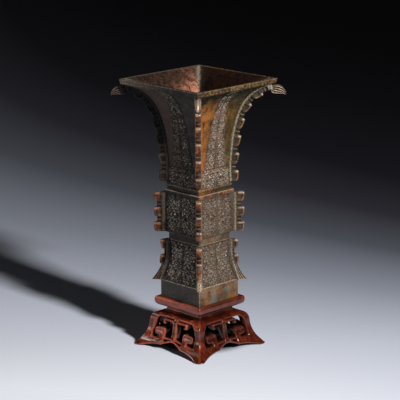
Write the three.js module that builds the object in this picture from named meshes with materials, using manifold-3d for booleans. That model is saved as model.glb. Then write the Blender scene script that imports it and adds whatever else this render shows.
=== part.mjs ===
// Square bronze zun vase on a carved hardwood stand, in millimetres, +Z up.
// The origin is the middle of the stand's footprint on the floor. The front face looks along -Y.
import * as THREE from "three";
import { mergeVertices } from "three/addons/utils/BufferGeometryUtils.js";
import Module from "manifold-3d";

const wasm = await Module();
wasm.setup();

// Heights of the stand, from the floor up
const ARM_TOP = 12; // upper edge of the arm that carries a scroll hook
const HOOK_RISE = 11.3; // height of the hook above its arm
const HOOK_GAP = 5.2; // air between the hook and the end of the T above it
const TEE_DROP = 6; // how far the ends of the T turn down
const TEE_GAP = 1.7; // air between the bar of the T and the rail
const RAIL_HEIGHT = 2.8;
const WAIST_HEIGHT = 7;
const BOARD_THICKNESS = 10;
const TRAY_DEPTH = 2.5; // how far the plinth is let into the board
const KNEE_HEIGHT = 25; // where the shoulder's curve turns into the shin
const TOE_THICKNESS = 1.2;

// Widths of the stand, over its flat sides
const TOE_SPREAD = 106;
const KNEE_WIDTH = 80;
const SHOULDER_WIDTH = 56;
const WAIST_WIDTH = 53.6;
const BOARD_RIM = 5; // wood left round the tray
const BOARD_UNDERCUT = 4; // how far the board's underside draws in below its nose
const BOARD_TOP_ROUND = 3; // how far the nose rounds over on top
const STAND_WOOD = 8; // thickness of the curved wood
const TOE_LENGTH = 11; // flat underside of a toe, along the profile
const TRAY_CLEARANCE = 0.5;

// Pierced work of the stand, measured across one side from its middle line
const OPENING_HALF = 33; // middle line to the inner edge of a leg
const ARCH_WIDTH = 11; // the opening's upper corner curves over this width
const ARCH_LEAN = 2.5; // how far the curve leans in before it turns
const ARCH_HEIGHT = 16;
const FRET_BAR = 2.2;
const HOOK_HALF = 14.5; // middle line to the near edge of a scroll hook
const HOOK_STEM = 7; // width of the hook's upright
const HOOK_BEAK = 8; // how far its head leans back towards the leg
const HOOK_HEAD = 8; // height of its head
const HOOK_ROUND = 2;
const ARM_LOW = 7; // lower edge of the arm below the hook
const TOE_HALF = 46; // middle line to the inner end of a toe
const TOE_RISE = 6; // height of the lower edge where it passes the leg
const TEE_HALF = 18;
const TEE_CURL = 1.4; // how far the turned-down ends curl inwards
const STEM_WIDTH = 5.8;
const CUSP_TOP = 15; // the paired low bars rise to this height at the stem
const LOW_BAR = 1.9; // width of one of them
const TOE_ROUND = 7; // radius of a toe's tip in plan
const TENON = 4;
const TENON_HEIGHT = 4;

// Heights of the vessel's registers, from its underside up
const PLINTH_HEIGHT = 21.5;
const FOOT_HEIGHT = 47;
const NOTCH_HEIGHT = 8;
const BELLY_HEIGHT = 48;
const COLLAR_HEIGHT = 6;
const THROAT_HEIGHT = 20;
const FLARE_HEIGHT = 90.3;
const LIP_HEIGHT = 5.7;

// Widths of the vessel, over its flat sides
const PLINTH_WIDTH = 60.8;
const FOOT_TOP_WIDTH = 49.2;
const NOTCH_WIDTH = 47.4;
const BELLY_WIDTH = 54.4;
const THROAT_WIDTH = 50.8;
const COLLAR_INSET = 0.8;
const RIM_WIDTH = 121.4;
const LIP_LEAN = 1.3; // how far the lip's face leans outwards on each side
const FOOT_SWEEP = 4.2; // pull of the foot's curve inwards above the plinth
const FOOT_HOLLOW = 1.8; // pull of the foot's curve inwards below its top
const FLARE_LEAN = 2.5; // outward lean of the throat as the flare starts
const FLARE_BULGE = 8.2; // outward pull of the flare below the lip

// Walls and joints of the castings
const WALL = 4;
const RIM_WALL = 6;
const SPIGOT_HEIGHT = 5;
const SPIGOT_WALL = 2;
const SEAT_THICKNESS = 3; // ledge that carries the floor plate
const FLOOR_THICKNESS = 3;
const FIT = 0.3; // gap left all round where one casting enters another

// Hooked corner flanges, measured square to the corner's edge
const FLANGE_THICKNESS = 5.6;
const FLANGE_LET_IN = 0.8; // depth of the slot below the flat that the flange covers
const TAB_SHARE = 0.58; // share of one tab and notch that the tab takes
const NECK_TAB_LOW = 9;
const NECK_TAB_HIGH = 7.5;
const NECK_TAB_COUNT = 6;
const NECK_FLANGE_FOOT = 3; // plain corner below the neck flange
const NECK_FLANGE_HEAD = 5; // plain corner between the flange's seat and the lip
const BELLY_TAB = 11;
const BELLY_TAB_COUNT = 3;
const BELLY_FLANGE_HEAD = 3.5;
const BELLY_FLANGE_FOOT = 0.6;
const FOOT_TAB = 8.4;
const FOOT_TAB_COUNT = 2;
const FOOT_TAB_RUN = 30; // length of the edge that the tabs take
const FOOT_FLANGE_HEAD = 0.6;
const NOTCH_DEPTH = 3.2;
const CLAW = 1.4; // how much further a tab's upper corner reaches than its lower one
const BEAK_REACH = 9; // out beyond the rim's corner
const BEAK_DROP = 12.4; // below the underside of the lip
const BEAK_LENGTH = 15;
const BEAK_ROOT = 5; // length of the corner's edge between the last notch and the beak's end
const BEAK_HEEL = 2.2;
const TAIL_REACH = 9.6; // out beyond the plinth's corner
const TAIL_LIP = 1.6;
const TAIL_WAIST = 3.4;

// Raised fields that carry the fine cast ornament
const RELIEF = 0.7;
const FIELD_MARGIN = 1; // plain wall between a flange and a field
const LEAF_WIDTH = 33; // of the upright leaf at its lower end
const LEAF_TOP_WIDTH = 16; // where it runs in under the lip
const LEAF_GAP = 1.2; // plain wall between the leaf and the band or the lip
const BELLY_MARGIN = 2.4; // plain wall between a belly flange and the field
const BAND_HEIGHT = 21;
const FIELD_EDGE = 3.2; // plain wall above and below the belly and foot fields

// Levels and half widths that follow from the sizes above
const hookTop = ARM_TOP + HOOK_RISE;
const teeTop = hookTop + HOOK_GAP + TEE_DROP;
const openingTop = teeTop + TEE_GAP;
const shoulderTop = openingTop + RAIL_HEIGHT;
const waistTop = shoulderTop + WAIST_HEIGHT;
const boardTop = waistTop + BOARD_THICKNESS;
const trayFloor = boardTop - TRAY_DEPTH;
const headHalf = SHOULDER_WIDTH / 2 - STAND_WOOD; // middle line to the joint of a rail and a leg's head
const tenonMiddle = headHalf + FIT + TENON / 2;
const plinthTop = PLINTH_HEIGHT;
const footTop = plinthTop + FOOT_HEIGHT;
const notchTop = footTop + NOTCH_HEIGHT;
const bellyTop = notchTop + BELLY_HEIGHT;
const collarTop = bellyTop + COLLAR_HEIGHT;
const throatTop = collarTop + THROAT_HEIGHT;
const lipBottom = throatTop + FLARE_HEIGHT;
const rimTop = lipBottom + LIP_HEIGHT;
const plinthHalf = PLINTH_WIDTH / 2;
const footTopHalf = FOOT_TOP_WIDTH / 2;
const notchHalf = NOTCH_WIDTH / 2;
const bellyHalf = BELLY_WIDTH / 2;
const throatHalf = THROAT_WIDTH / 2;
const rimHalf = RIM_WIDTH / 2;
const flareHalf = rimHalf - LIP_LEAN;
const bellyBore = bellyHalf - WALL;
const notchBore = notchHalf - WALL;
const throatBore = throatHalf - WALL;
const trayHalf = plinthHalf + TRAY_CLEARANCE;
const seatDepth = FLANGE_THICKNESS / 2 + FLANGE_LET_IN;
const flangeSpan = FLANGE_THICKNESS / Math.SQRT2; // width that a flange covers on a face
const CORNER = Math.SQRT2; // half diagonal of a square per half width

// Materials
const bronze = new THREE.MeshStandardMaterial({ color: 0x5d4f36, roughness: 0.5, metalness: 0.85 });
const copper = new THREE.MeshStandardMaterial({ color: 0x74462d, roughness: 0.5, metalness: 0.85 });
const wood = new THREE.MeshStandardMaterial({ color: 0x6a2f1d, roughness: 0.35, metalness: 0 });

function point(across, up) {
  return new THREE.Vector2(across, up);
}

// Turns a geometry into a closed solid, with doubled points joined and flat triangles dropped.
function solidOf(geometry) {
  const bare = geometry.clone();
  bare.deleteAttribute("normal");
  bare.deleteAttribute("uv");
  const joined = mergeVertices(bare, 1e-4);
  const index = joined.index.array;
  const kept = [];
  for (let i = 0; i < index.length; i += 3) {
    const [a, b, c] = [index[i], index[i + 1], index[i + 2]];
    if (a !== b && b !== c && c !== a) {
      kept.push(a, b, c);
    }
  }
  const vertProperties = new Float32Array(joined.attributes.position.array);
  const triVerts = new Uint32Array(kept);
  return new wasm.Manifold(new wasm.Mesh({ numProp: 3, vertProperties, triVerts }));
}

function geometryOf(solid) {
  const mesh = solid.getMesh();
  const geometry = new THREE.BufferGeometry();
  geometry.setAttribute("position", new THREE.BufferAttribute(mesh.vertProperties, 3));
  geometry.setIndex(new THREE.BufferAttribute(mesh.triVerts, 1));
  geometry.computeVertexNormals();
  return geometry;
}

// Turns a profile of half widths and heights round the axis in four steps, which gives a square body.
function squareTurn(profile) {
  const corners = profile.map((p) => point(p.x * CORNER, p.y));
  const geometry = new THREE.LatheGeometry(corners, 4);
  geometry.rotateX(Math.PI / 2);
  geometry.rotateZ(Math.PI / 4);
  return geometry;
}

// Pushes an outline of across and up through the front side of the body, from one depth to another.
function frontPrism(outline, near, far) {
  const geometry = new THREE.ExtrudeGeometry(new THREE.Shape(outline), {
    depth: far - near,
    bevelEnabled: false,
  });
  geometry.rotateX(Math.PI / 2);
  geometry.translate(0, -near, 0);
  return geometry;
}

function quarterTurned(geometry, quarter) {
  return geometry.clone().rotateZ((quarter * Math.PI) / 2);
}

// Adds the same piece to all four sides of a solid, or cuts it from them.
function onFourSides(solid, geometry, operation) {
  let result = solid;
  for (let quarter = 0; quarter < 4; quarter += 1) {
    result = result[operation](solidOf(quarterTurned(geometry, quarter)));
  }
  return result;
}

// The foot's curve, from the plinth up, as half width and height
function footCurve() {
  return new THREE.CubicBezierCurve(
    point(plinthHalf, plinthTop),
    point(plinthHalf - FOOT_SWEEP, plinthTop + 0.36 * FOOT_HEIGHT),
    point(footTopHalf - FOOT_HOLLOW, plinthTop + 0.56 * FOOT_HEIGHT),
    point(footTopHalf, footTop),
  );
}

// The neck's flare, from the straight throat up to the underside of the lip
function flareCurve() {
  return new THREE.CubicBezierCurve(
    point(throatHalf, throatTop),
    point(throatHalf + FLARE_LEAN, throatTop + 0.52 * FLARE_HEIGHT),
    point(throatHalf + FLARE_BULGE, throatTop + 0.863 * FLARE_HEIGHT),
    point(flareHalf, lipBottom),
  );
}

// A point at a height above a curve, square to it: outwards for a positive height.
function besideCurve(curve, share, height) {
  const at = curve.getPoint(share);
  const along = curve.getTangent(share);
  return point(at.x + along.y * height, at.y - along.x * height);
}

function sampled(steps, from, to, place) {
  return Array.from({ length: steps + 1 }, (_, i) => place(from + ((to - from) * i) / steps));
}

// The same curve moved from half widths to half diagonals, where the corner's edge lies
function cornerEdge(parts) {
  const edge = new THREE.CurvePath();
  for (const part of parts) {
    const moved = part.clone();
    for (const key of ["v0", "v1", "v2", "v3"]) {
      if (moved[key]) {
        moved[key].x *= CORNER;
      }
    }
    edge.add(moved);
  }
  return edge;
}

const neckEdge = cornerEdge([
  new THREE.LineCurve(point(throatHalf, collarTop), point(throatHalf, throatTop)),
  flareCurve(),
]);
const bellyEdge = cornerEdge([
  new THREE.LineCurve(point(bellyHalf, notchTop), point(bellyHalf, bellyTop)),
]);
const footEdge = cornerEdge([footCurve()]);

// Tabs and notches down a corner's edge, from its upper share to its lower one
function tabLine(edge, lower, upper, count, lowHeight, highHeight, endsInNotch) {
  const notches = endsInNotch ? count : count - 1;
  const unit = (upper - lower) / (count * TAB_SHARE + notches * (1 - TAB_SHARE));
  const line = [];
  for (let i = count - 1; i >= 0; i -= 1) {
    const start = lower + i * unit;
    const end = start + TAB_SHARE * unit;
    const height = lowHeight + ((highHeight - lowHeight) * i) / Math.max(1, count - 1);
    const floor = height - NOTCH_DEPTH;
    if (endsInNotch || i < count - 1) {
      line.push(besideCurve(edge, start + unit, floor));
      line.push(besideCurve(edge, end, floor));
    }
    const lean = (share) => CLAW * ((share - start) / (end - start) - 0.5);
    line.push(...sampled(2, end, start, (share) => besideCurve(edge, share, height + lean(share))));
  }
  return line;
}

// Slot that a flange's root fits into, cut along the corner's edge
function slotOutline(edge, lower, upper) {
  const spare = FIT / edge.getLength();
  const inner = sampled(12, lower - spare, upper + spare, (s) => besideCurve(edge, s, -seatDepth - FIT));
  const outer = sampled(12, upper + spare, lower - spare, (s) => besideCurve(edge, s, FLANGE_THICKNESS));
  return [...inner, ...outer];
}

// A plate of the given outline, standing in the plane of the front right corner
function cornerPlate(outline, thickness) {
  const geometry = frontPrism(outline, -thickness / 2, thickness / 2);
  geometry.rotateZ(-Math.PI / 4);
  return geometry;
}

function edgeShares(edge, footLength, headLength) {
  const length = edge.getLength();
  return { lower: footLength / length, upper: 1 - headLength / length };
}

const neckSpan = edgeShares(neckEdge, NECK_FLANGE_FOOT, NECK_FLANGE_HEAD);
const bellySpan = edgeShares(bellyEdge, BELLY_FLANGE_FOOT, BELLY_FLANGE_HEAD);
const footSpan = edgeShares(footEdge, FIT, FOOT_FLANGE_HEAD);

// Neck flange: its seat runs up the corner, its beak reaches out under the lip, its tabs come down.
function neckFlangeOutline() {
  const { lower, upper } = neckSpan;
  const seat = sampled(14, lower, upper, (share) => besideCurve(neckEdge, share, -seatDepth));
  const tip = point(rimHalf * CORNER + BEAK_REACH, lipBottom - BEAK_DROP);
  const crown = point(flareHalf * CORNER + FIT, lipBottom - FIT);
  const brow = new THREE.QuadraticBezierCurve(
    crown,
    point(tip.x - 0.2 * BEAK_REACH, lipBottom - 0.4 * BEAK_DROP),
    tip,
  );
  const heel = point(tip.x - BEAK_LENGTH, tip.y);
  const tabTop = upper - BEAK_ROOT / neckEdge.getLength();
  return [
    ...seat,
    besideCurve(neckEdge, upper, FIT),
    ...brow.getPoints(5),
    heel,
    point(heel.x, heel.y + BEAK_HEEL),
    ...tabLine(neckEdge, lower, tabTop, NECK_TAB_COUNT, NECK_TAB_LOW, NECK_TAB_HIGH, true),
  ];
}

function bellyFlangeOutline() {
  const { lower, upper } = bellySpan;
  return [
    besideCurve(bellyEdge, lower, -seatDepth),
    besideCurve(bellyEdge, upper, -seatDepth),
    ...tabLine(bellyEdge, lower, upper, BELLY_TAB_COUNT, BELLY_TAB, BELLY_TAB, false),
  ];
}

// Foot flange: two tabs above, and a tail that sweeps out over the plinth's corner.
function footFlangeOutline() {
  const { lower, upper } = footSpan;
  const tabLow = upper - FOOT_TAB_RUN / footEdge.getLength();
  const seat = sampled(10, lower, upper, (share) => besideCurve(footEdge, share, -seatDepth));
  const tailTip = point(plinthHalf * CORNER + TAIL_REACH, plinthTop + FIT);
  const waist = besideCurve(footEdge, tabLow, TAIL_WAIST);
  const sweep = new THREE.QuadraticBezierCurve(
    waist,
    point(waist.x + 0.35 * (tailTip.x - waist.x), plinthTop + 0.45 * (waist.y - plinthTop)),
    point(tailTip.x, tailTip.y + TAIL_LIP),
  );
  return [
    ...seat,
    ...tabLine(footEdge, tabLow, upper, FOOT_TAB_COUNT, FOOT_TAB, FOOT_TAB, false),
    ...sweep.getPoints(5),
    tailTip,
    point(plinthHalf * CORNER, plinthTop + FIT),
  ];
}

// Cuts the four corner slots of one register, clear of the plinth or the lip.
function withSlots(solid, edge, span) {
  const slot = cornerPlate(slotOutline(edge, span.lower, span.upper), FLANGE_THICKNESS + 2 * FIT);
  return onFourSides(solid, slot, "subtract");
}

// Raised field on all four sides: the outline pushed through a skin that lies just over the wall
function withField(solid, skin, outline) {
  const prism = solidOf(frontPrism(outline, WALL, RIM_WIDTH));
  const field = geometryOf(solidOf(squareTurn(skin)).intersect(prism));
  return onFourSides(solid, field, "add");
}

// Upright leaf between the band and the lip, with straight sides that lean in
function leafOutline() {
  const low = collarTop + BAND_HEIGHT + LEAF_GAP;
  const high = lipBottom - LEAF_GAP;
  return [
    point(-LEAF_WIDTH / 2, low),
    point(LEAF_WIDTH / 2, low),
    point(LEAF_TOP_WIDTH / 2, high),
    point(-LEAF_TOP_WIDTH / 2, high),
  ];
}

function rectangle(halfWidth, low, high) {
  return [
    point(-halfWidth, low),
    point(halfWidth, low),
    point(halfWidth, high),
    point(-halfWidth, high),
  ];
}

function fieldHalf(half, margin) {
  return half - flangeSpan - margin;
}

// Neck: spigot, collar, straight throat, flare and lip outside; lip, flare and bore inside
function neckSolid() {
  const spigot = bellyBore - FIT;
  const spigotBore = Math.min(spigot - SPIGOT_WALL, throatBore);
  const collarHalf = throatHalf - COLLAR_INSET;
  const flare = flareCurve();
  const inside = (share) => besideCurve(flare, share, -(WALL + (RIM_WALL - WALL) * share ** 2));
  const mouth = inside(1);
  const wall = solidOf(squareTurn([
    point(spigot, bellyTop - SPIGOT_HEIGHT),
    point(spigot, bellyTop),
    point(collarHalf, bellyTop),
    point(collarHalf, collarTop),
    point(throatHalf, collarTop),
    ...flare.getPoints(18),
    point(rimHalf, rimTop),
    point(mouth.x, rimTop),
    ...sampled(18, 0.97, 0, inside),
    point(throatBore, collarTop),
    point(spigotBore, collarTop),
    point(spigotBore, bellyTop - SPIGOT_HEIGHT),
    point(spigot, bellyTop - SPIGOT_HEIGHT),
  ]));
  const skin = [
    point(throatHalf + RELIEF, collarTop),
    ...sampled(18, 0, 1, (share) => besideCurve(flare, share, RELIEF)),
    ...sampled(18, 1, 0, (share) => besideCurve(flare, share, -WALL / 2)),
    point(throatHalf - WALL / 2, collarTop),
    point(throatHalf + RELIEF, collarTop),
  ];
  const band = rectangle(fieldHalf(throatHalf, FIELD_MARGIN), collarTop, collarTop + BAND_HEIGHT);
  const banded = withField(wall, skin, band);
  return withSlots(withField(banded, skin, leafOutline()), neckEdge, neckSpan);
}

// Belly: a square box section, with the floor's ledge and the spigot below it
function bellySolid() {
  const spigot = notchBore - FIT;
  const spigotBore = spigot - SPIGOT_WALL;
  const seatTop = notchTop + SEAT_THICKNESS;
  const wall = solidOf(squareTurn([
    point(spigot, notchTop - SPIGOT_HEIGHT),
    point(spigot, notchTop),
    point(bellyHalf, notchTop),
    point(bellyHalf, bellyTop),
    point(bellyBore, bellyTop),
    point(bellyBore, seatTop),
    point(spigotBore, seatTop),
    point(spigotBore, notchTop - SPIGOT_HEIGHT),
    point(spigot, notchTop - SPIGOT_HEIGHT),
  ]));
  const skin = [
    point(bellyHalf + RELIEF, notchTop),
    point(bellyHalf + RELIEF, bellyTop),
    point(bellyHalf - WALL / 2, bellyTop),
    point(bellyHalf - WALL / 2, notchTop),
    point(bellyHalf + RELIEF, notchTop),
  ];
  const field = rectangle(fieldHalf(bellyHalf, BELLY_MARGIN), notchTop + FIELD_EDGE, bellyTop - FIELD_EDGE);
  return withSlots(withField(wall, skin, field), bellyEdge, bellySpan);
}

// Foot: plinth, swept foot and notch band outside, one even wall inside
function footSolid() {
  const curve = footCurve();
  const wall = solidOf(squareTurn([
    point(plinthHalf, 0),
    ...curve.getPoints(12),
    point(notchHalf, footTop),
    point(notchHalf, notchTop),
    point(notchBore, notchTop),
    point(notchBore, footTop),
    ...sampled(12, 0.94, 0, (share) => besideCurve(curve, share, -WALL)),
    point(plinthHalf - WALL, 0),
    point(plinthHalf, 0),
  ]));
  const skin = [
    ...sampled(12, 0, 1, (share) => besideCurve(curve, share, RELIEF)),
    ...sampled(12, 1, 0, (share) => besideCurve(curve, share, -WALL / 2)),
    besideCurve(curve, 0, RELIEF),
  ];
  const slimHalf = footTopHalf - FOOT_HOLLOW / 2;
  const field = rectangle(fieldHalf(slimHalf, FIELD_MARGIN), plinthTop + FIELD_EDGE, footTop - FIELD_EDGE);
  return withSlots(withField(wall, skin, field), footEdge, footSpan);
}

// Loose floor of the vessel, on the ledge inside the belly
function floorGeometry() {
  const side = 2 * (bellyBore - FIT);
  return new THREE.BoxGeometry(side, side, FLOOR_THICKNESS);
}

// The outer S of a stand side, from the toe up: shin and toe, then knee and shoulder
function shinCurve() {
  const toe = TOE_SPREAD / 2;
  const knee = KNEE_WIDTH / 2;
  return new THREE.CubicBezierCurve(
    point(toe, TOE_THICKNESS),
    point(knee + 0.32 * (toe - knee), 0.34 * KNEE_HEIGHT),
    point(knee + 0.11 * (toe - knee), 0.66 * KNEE_HEIGHT),
    point(knee, KNEE_HEIGHT),
  );
}

function shoulderCurve() {
  const knee = KNEE_WIDTH / 2;
  const shoulder = SHOULDER_WIDTH / 2;
  const rise = shoulderTop - KNEE_HEIGHT;
  return new THREE.CubicBezierCurve(
    point(knee, KNEE_HEIGHT),
    point(knee - 0.08 * (knee - shoulder), KNEE_HEIGHT + 0.57 * rise),
    point(shoulder + 0.58 * (knee - shoulder), shoulderTop),
    point(shoulder, shoulderTop),
  );
}

// The curved wood of all four sides, mitred at the corners, before it is pierced
function standShell() {
  const toe = TOE_SPREAD / 2;
  const outer = [...shinCurve().getPoints(8), ...shoulderCurve().getPoints(8)];
  const inner = outer.filter((p) => p.x - STAND_WOOD < toe - TOE_LENGTH);
  const turned = solidOf(squareTurn([
    point(toe, 0),
    ...outer,
    ...inner.reverse().map((p) => point(p.x - STAND_WOOD, p.y)),
    point(toe - TOE_LENGTH, 0),
    point(toe, 0),
  ]));
  return turned.intersect(toePlan());
}

// Front quarter of the plan, up to the mitres and a little past them
function frontWedge(past) {
  const reach = TOE_SPREAD;
  const outline = [point(0, past), point(-reach, past - reach), point(reach, past - reach)];
  const geometry = new THREE.ExtrudeGeometry(new THREE.Shape(outline), {
    depth: shoulderTop,
    bevelEnabled: false,
  });
  return solidOf(geometry);
}

// One half of a leg as seen on one side: head, shin, toe, and the arm with its scroll hook
function legOutline(mirror) {
  const far = TOE_SPREAD;
  const upright = HOOK_HALF + HOOK_STEM;
  const tip = upright + HOOK_BEAK;
  const arch = new THREE.QuadraticBezierCurve(
    point(OPENING_HALF - ARCH_WIDTH, openingTop),
    point(OPENING_HALF - ARCH_LEAN, openingTop),
    point(OPENING_HALF, openingTop - ARCH_HEIGHT),
  );
  const crown = new THREE.QuadraticBezierCurve(
    point(HOOK_HALF + HOOK_ROUND, hookTop),
    point(HOOK_HALF, hookTop),
    point(HOOK_HALF, hookTop - HOOK_ROUND),
  );
  const sweep = new THREE.QuadraticBezierCurve(
    point(HOOK_HALF, ARM_LOW),
    point(OPENING_HALF, TOE_RISE),
    point(TOE_HALF, 0),
  );
  const outline = [
    point(far, 0),
    point(far, shoulderTop),
    point(headHalf, shoulderTop),
    point(headHalf, openingTop),
    ...arch.getPoints(4),
    point(OPENING_HALF, ARM_TOP),
    point(upright, ARM_TOP),
    point(upright, hookTop - HOOK_HEAD),
    point(tip, hookTop - HOOK_HEAD),
    point(tip, hookTop),
    ...crown.getPoints(3),
    ...sweep.getPoints(5),
  ];
  return outline.map((p) => point(p.x * mirror, p.y));
}

// Plan of the whole stand, with the tips of the toes rounded
function toePlan() {
  const half = TOE_SPREAD / 2;
  const middle = half - TOE_ROUND;
  const plan = new THREE.Shape();
  plan.moveTo(half, -middle);
  plan.absarc(middle, middle, TOE_ROUND, 0, Math.PI / 2);
  plan.absarc(-middle, middle, TOE_ROUND, Math.PI / 2, Math.PI);
  plan.absarc(-middle, -middle, TOE_ROUND, Math.PI, 1.5 * Math.PI);
  plan.absarc(middle, -middle, TOE_ROUND, 1.5 * Math.PI, 2 * Math.PI);
  return solidOf(new THREE.ExtrudeGeometry(plan, {
    depth: shoulderTop,
    bevelEnabled: false,
    curveSegments: 6,
  }));
}

function legSolid(shell) {
  const wedge = frontWedge(FIT);
  const front = solidOf(frontPrism(legOutline(1), 0, TOE_SPREAD)).intersect(wedge);
  const beside = solidOf(frontPrism(legOutline(-1), 0, TOE_SPREAD)).intersect(wedge);
  const right = solidOf(quarterTurned(geometryOf(beside), 1));
  return shell.intersect(front.add(right)).add(solidOf(tenonBlock(0)));
}

// Tenon on a leg's head, or with a gap round it the mortise that takes it, rooted a little below
function tenonBlock(gap) {
  const width = TENON + 2 * gap;
  const height = TENON_HEIGHT + gap + FIT;
  const block = new THREE.BoxGeometry(width, width, height);
  block.translate(tenonMiddle, -tenonMiddle, shoulderTop - FIT + height / 2);
  return block;
}

// Rail with its hanging T, and the paired low bars that spread from the stem to the hooks
function apronOutline() {
  const stem = STEM_WIDTH / 2;
  const railEnd = headHalf - FIT;
  const barEnd = HOOK_HALF - FIT;
  const teeIn = TEE_HALF - FRET_BAR;
  const teeLow = teeTop - TEE_DROP;
  const fork = stem + LOW_BAR;
  const half = [
    point(stem, openingTop),
    point(stem, teeTop),
    point(TEE_HALF, teeTop),
    point(TEE_HALF, teeLow),
    point(teeIn - TEE_CURL, teeLow),
    point(teeIn - TEE_CURL, teeLow + FRET_BAR / 2),
    point(teeIn, teeLow + FRET_BAR / 2),
    point(teeIn, teeTop - FRET_BAR),
    point(stem, teeTop - FRET_BAR),
    point(stem, CUSP_TOP),
    point(barEnd, ARM_TOP + LOW_BAR),
    point(barEnd, ARM_TOP),
    point(fork, CUSP_TOP - LOW_BAR),
    point(barEnd, ARM_LOW + LOW_BAR),
    point(barEnd, ARM_LOW),
    point(stem, CUSP_TOP - 2 * LOW_BAR),
  ];
  return [
    point(-railEnd, shoulderTop),
    point(-railEnd, openingTop),
    ...half.map((p) => point(-p.x, p.y)),
    ...half.reverse(),
    point(railEnd, openingTop),
    point(railEnd, shoulderTop),
  ];
}

function apronSolid(shell) {
  const prism = solidOf(frontPrism(apronOutline(), 0, TOE_SPREAD));
  return shell.intersect(prism.intersect(frontWedge(0)));
}

// Waist block, with a mortise above each leg
function waistSolid() {
  const block = new THREE.BoxGeometry(WAIST_WIDTH, WAIST_WIDTH, WAIST_HEIGHT);
  block.translate(0, 0, shoulderTop + WAIST_HEIGHT / 2);
  return onFourSides(solidOf(block), tenonBlock(FIT), "subtract");
}

// Top board: drawn-in underside, bull nose, flat rim and the tray that the plinth stands in
function boardGeometry() {
  const nose = trayHalf + BOARD_RIM;
  const middle = waistTop + 0.55 * BOARD_THICKNESS;
  const under = new THREE.QuadraticBezierCurve(
    point(nose - BOARD_UNDERCUT, waistTop),
    point(nose, waistTop + 0.1 * BOARD_THICKNESS),
    point(nose, middle),
  );
  const over = new THREE.QuadraticBezierCurve(
    point(nose, middle),
    point(nose, boardTop),
    point(nose - BOARD_TOP_ROUND, boardTop),
  );
  return squareTurn([
    point(0, waistTop),
    ...under.getPoints(5),
    ...over.getPoints(5).slice(1),
    point(trayHalf, boardTop),
    point(trayHalf, trayFloor),
    point(0, trayFloor),
  ]);
}

const CORNER_NAMES = ["front_right", "back_right", "back_left", "front_left"];
const SIDE_NAMES = ["front", "right", "back", "left"];

function named(name, geometry, material) {
  const mesh = new THREE.Mesh(geometry, material);
  mesh.name = name;
  return mesh;
}

// Four copies of one piece, a quarter turn apart
function around(group, stem, names, geometry, material) {
  names.forEach((name, quarter) => {
    const mesh = named(`${stem}_${name}`, geometry, material);
    mesh.rotation.z = (quarter * Math.PI) / 2;
    group.add(mesh);
  });
}

function buildVessel() {
  const vessel = new THREE.Group();
  vessel.name = "vessel";
  vessel.position.z = trayFloor;
  vessel.add(named("neck", geometryOf(neckSolid()), bronze));
  vessel.add(named("belly", geometryOf(bellySolid()), bronze));
  vessel.add(named("foot", geometryOf(footSolid()), bronze));
  const floor = named("base_plate", floorGeometry(), bronze);
  floor.position.z = notchTop + SEAT_THICKNESS + FLOOR_THICKNESS / 2;
  vessel.add(floor);
  const plate = (outline) => geometryOf(solidOf(cornerPlate(outline, FLANGE_THICKNESS)));
  around(vessel, "neck_flange", CORNER_NAMES, plate(neckFlangeOutline()), copper);
  around(vessel, "belly_flange", CORNER_NAMES, plate(bellyFlangeOutline()), copper);
  around(vessel, "foot_flange", CORNER_NAMES, plate(footFlangeOutline()), copper);
  return vessel;
}

function buildStand() {
  const stand = new THREE.Group();
  stand.name = "stand";
  const shell = standShell();
  stand.add(named("stand_board", geometryOf(solidOf(boardGeometry())), wood));
  stand.add(named("stand_waist", geometryOf(waistSolid()), wood));
  around(stand, "stand_leg", CORNER_NAMES, geometryOf(legSolid(shell)), wood);
  around(stand, "stand_apron", SIDE_NAMES, geometryOf(apronSolid(shell)), wood);
  return stand;
}

const object = new THREE.Group();
object.name = "zun_on_stand";
object.add(buildStand());
object.add(buildVessel());

export default object;
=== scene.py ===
"""Square bronze zun vase on its carved hardwood stand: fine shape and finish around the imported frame.

Lengths are in millimetres until a mesh is made, and in metres in the shaders and on the stage. The
front side looks along -Y, and the corner between the front and the right side faces the camera.
"""
import math

import bpy
import numpy as np
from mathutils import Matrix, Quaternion, Vector


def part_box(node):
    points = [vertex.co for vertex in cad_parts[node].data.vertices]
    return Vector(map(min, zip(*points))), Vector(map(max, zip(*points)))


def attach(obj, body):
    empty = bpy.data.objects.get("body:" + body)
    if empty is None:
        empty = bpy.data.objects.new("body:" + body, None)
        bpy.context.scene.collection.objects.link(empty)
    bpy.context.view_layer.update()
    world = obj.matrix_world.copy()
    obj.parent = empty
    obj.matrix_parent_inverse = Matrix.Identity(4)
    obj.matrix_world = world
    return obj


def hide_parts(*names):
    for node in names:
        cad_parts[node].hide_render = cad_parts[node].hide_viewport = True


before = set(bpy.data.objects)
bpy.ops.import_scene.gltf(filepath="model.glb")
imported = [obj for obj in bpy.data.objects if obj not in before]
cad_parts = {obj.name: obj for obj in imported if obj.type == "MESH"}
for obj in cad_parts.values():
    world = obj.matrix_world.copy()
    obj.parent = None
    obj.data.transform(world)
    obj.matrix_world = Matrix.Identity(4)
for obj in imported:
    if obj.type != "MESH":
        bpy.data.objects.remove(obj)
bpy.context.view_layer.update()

MM = 0.001
DIAGONAL = math.sqrt(2)
CORNERS = ("front_right", "back_right", "back_left", "front_left")
SIDES = ("front", "right", "back", "left")


def extent(node):
    """Lowest level, highest level and half width of a CAD node, in millimetres."""
    low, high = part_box(node)
    return low.z / MM, high.z / MM, high.x / MM


# Levels and half widths taken from the frame
FOOT_LOW, NOTCH_TOP, PLINTH_HALF = extent("foot")
_, BELLY_TOP, BELLY_FIELD_HALF = extent("belly")
SPIGOT_LOW, RIM_TOP, RIM_HALF = extent("neck")
BOARD_LOW, BOARD_TOP, BOARD_HALF = extent("stand_board")
WAIST_LOW, WAIST_TOP, WAIST_HALF = extent("stand_waist")
_, _, TOE_HALF = extent("stand_leg_front_right")

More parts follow.
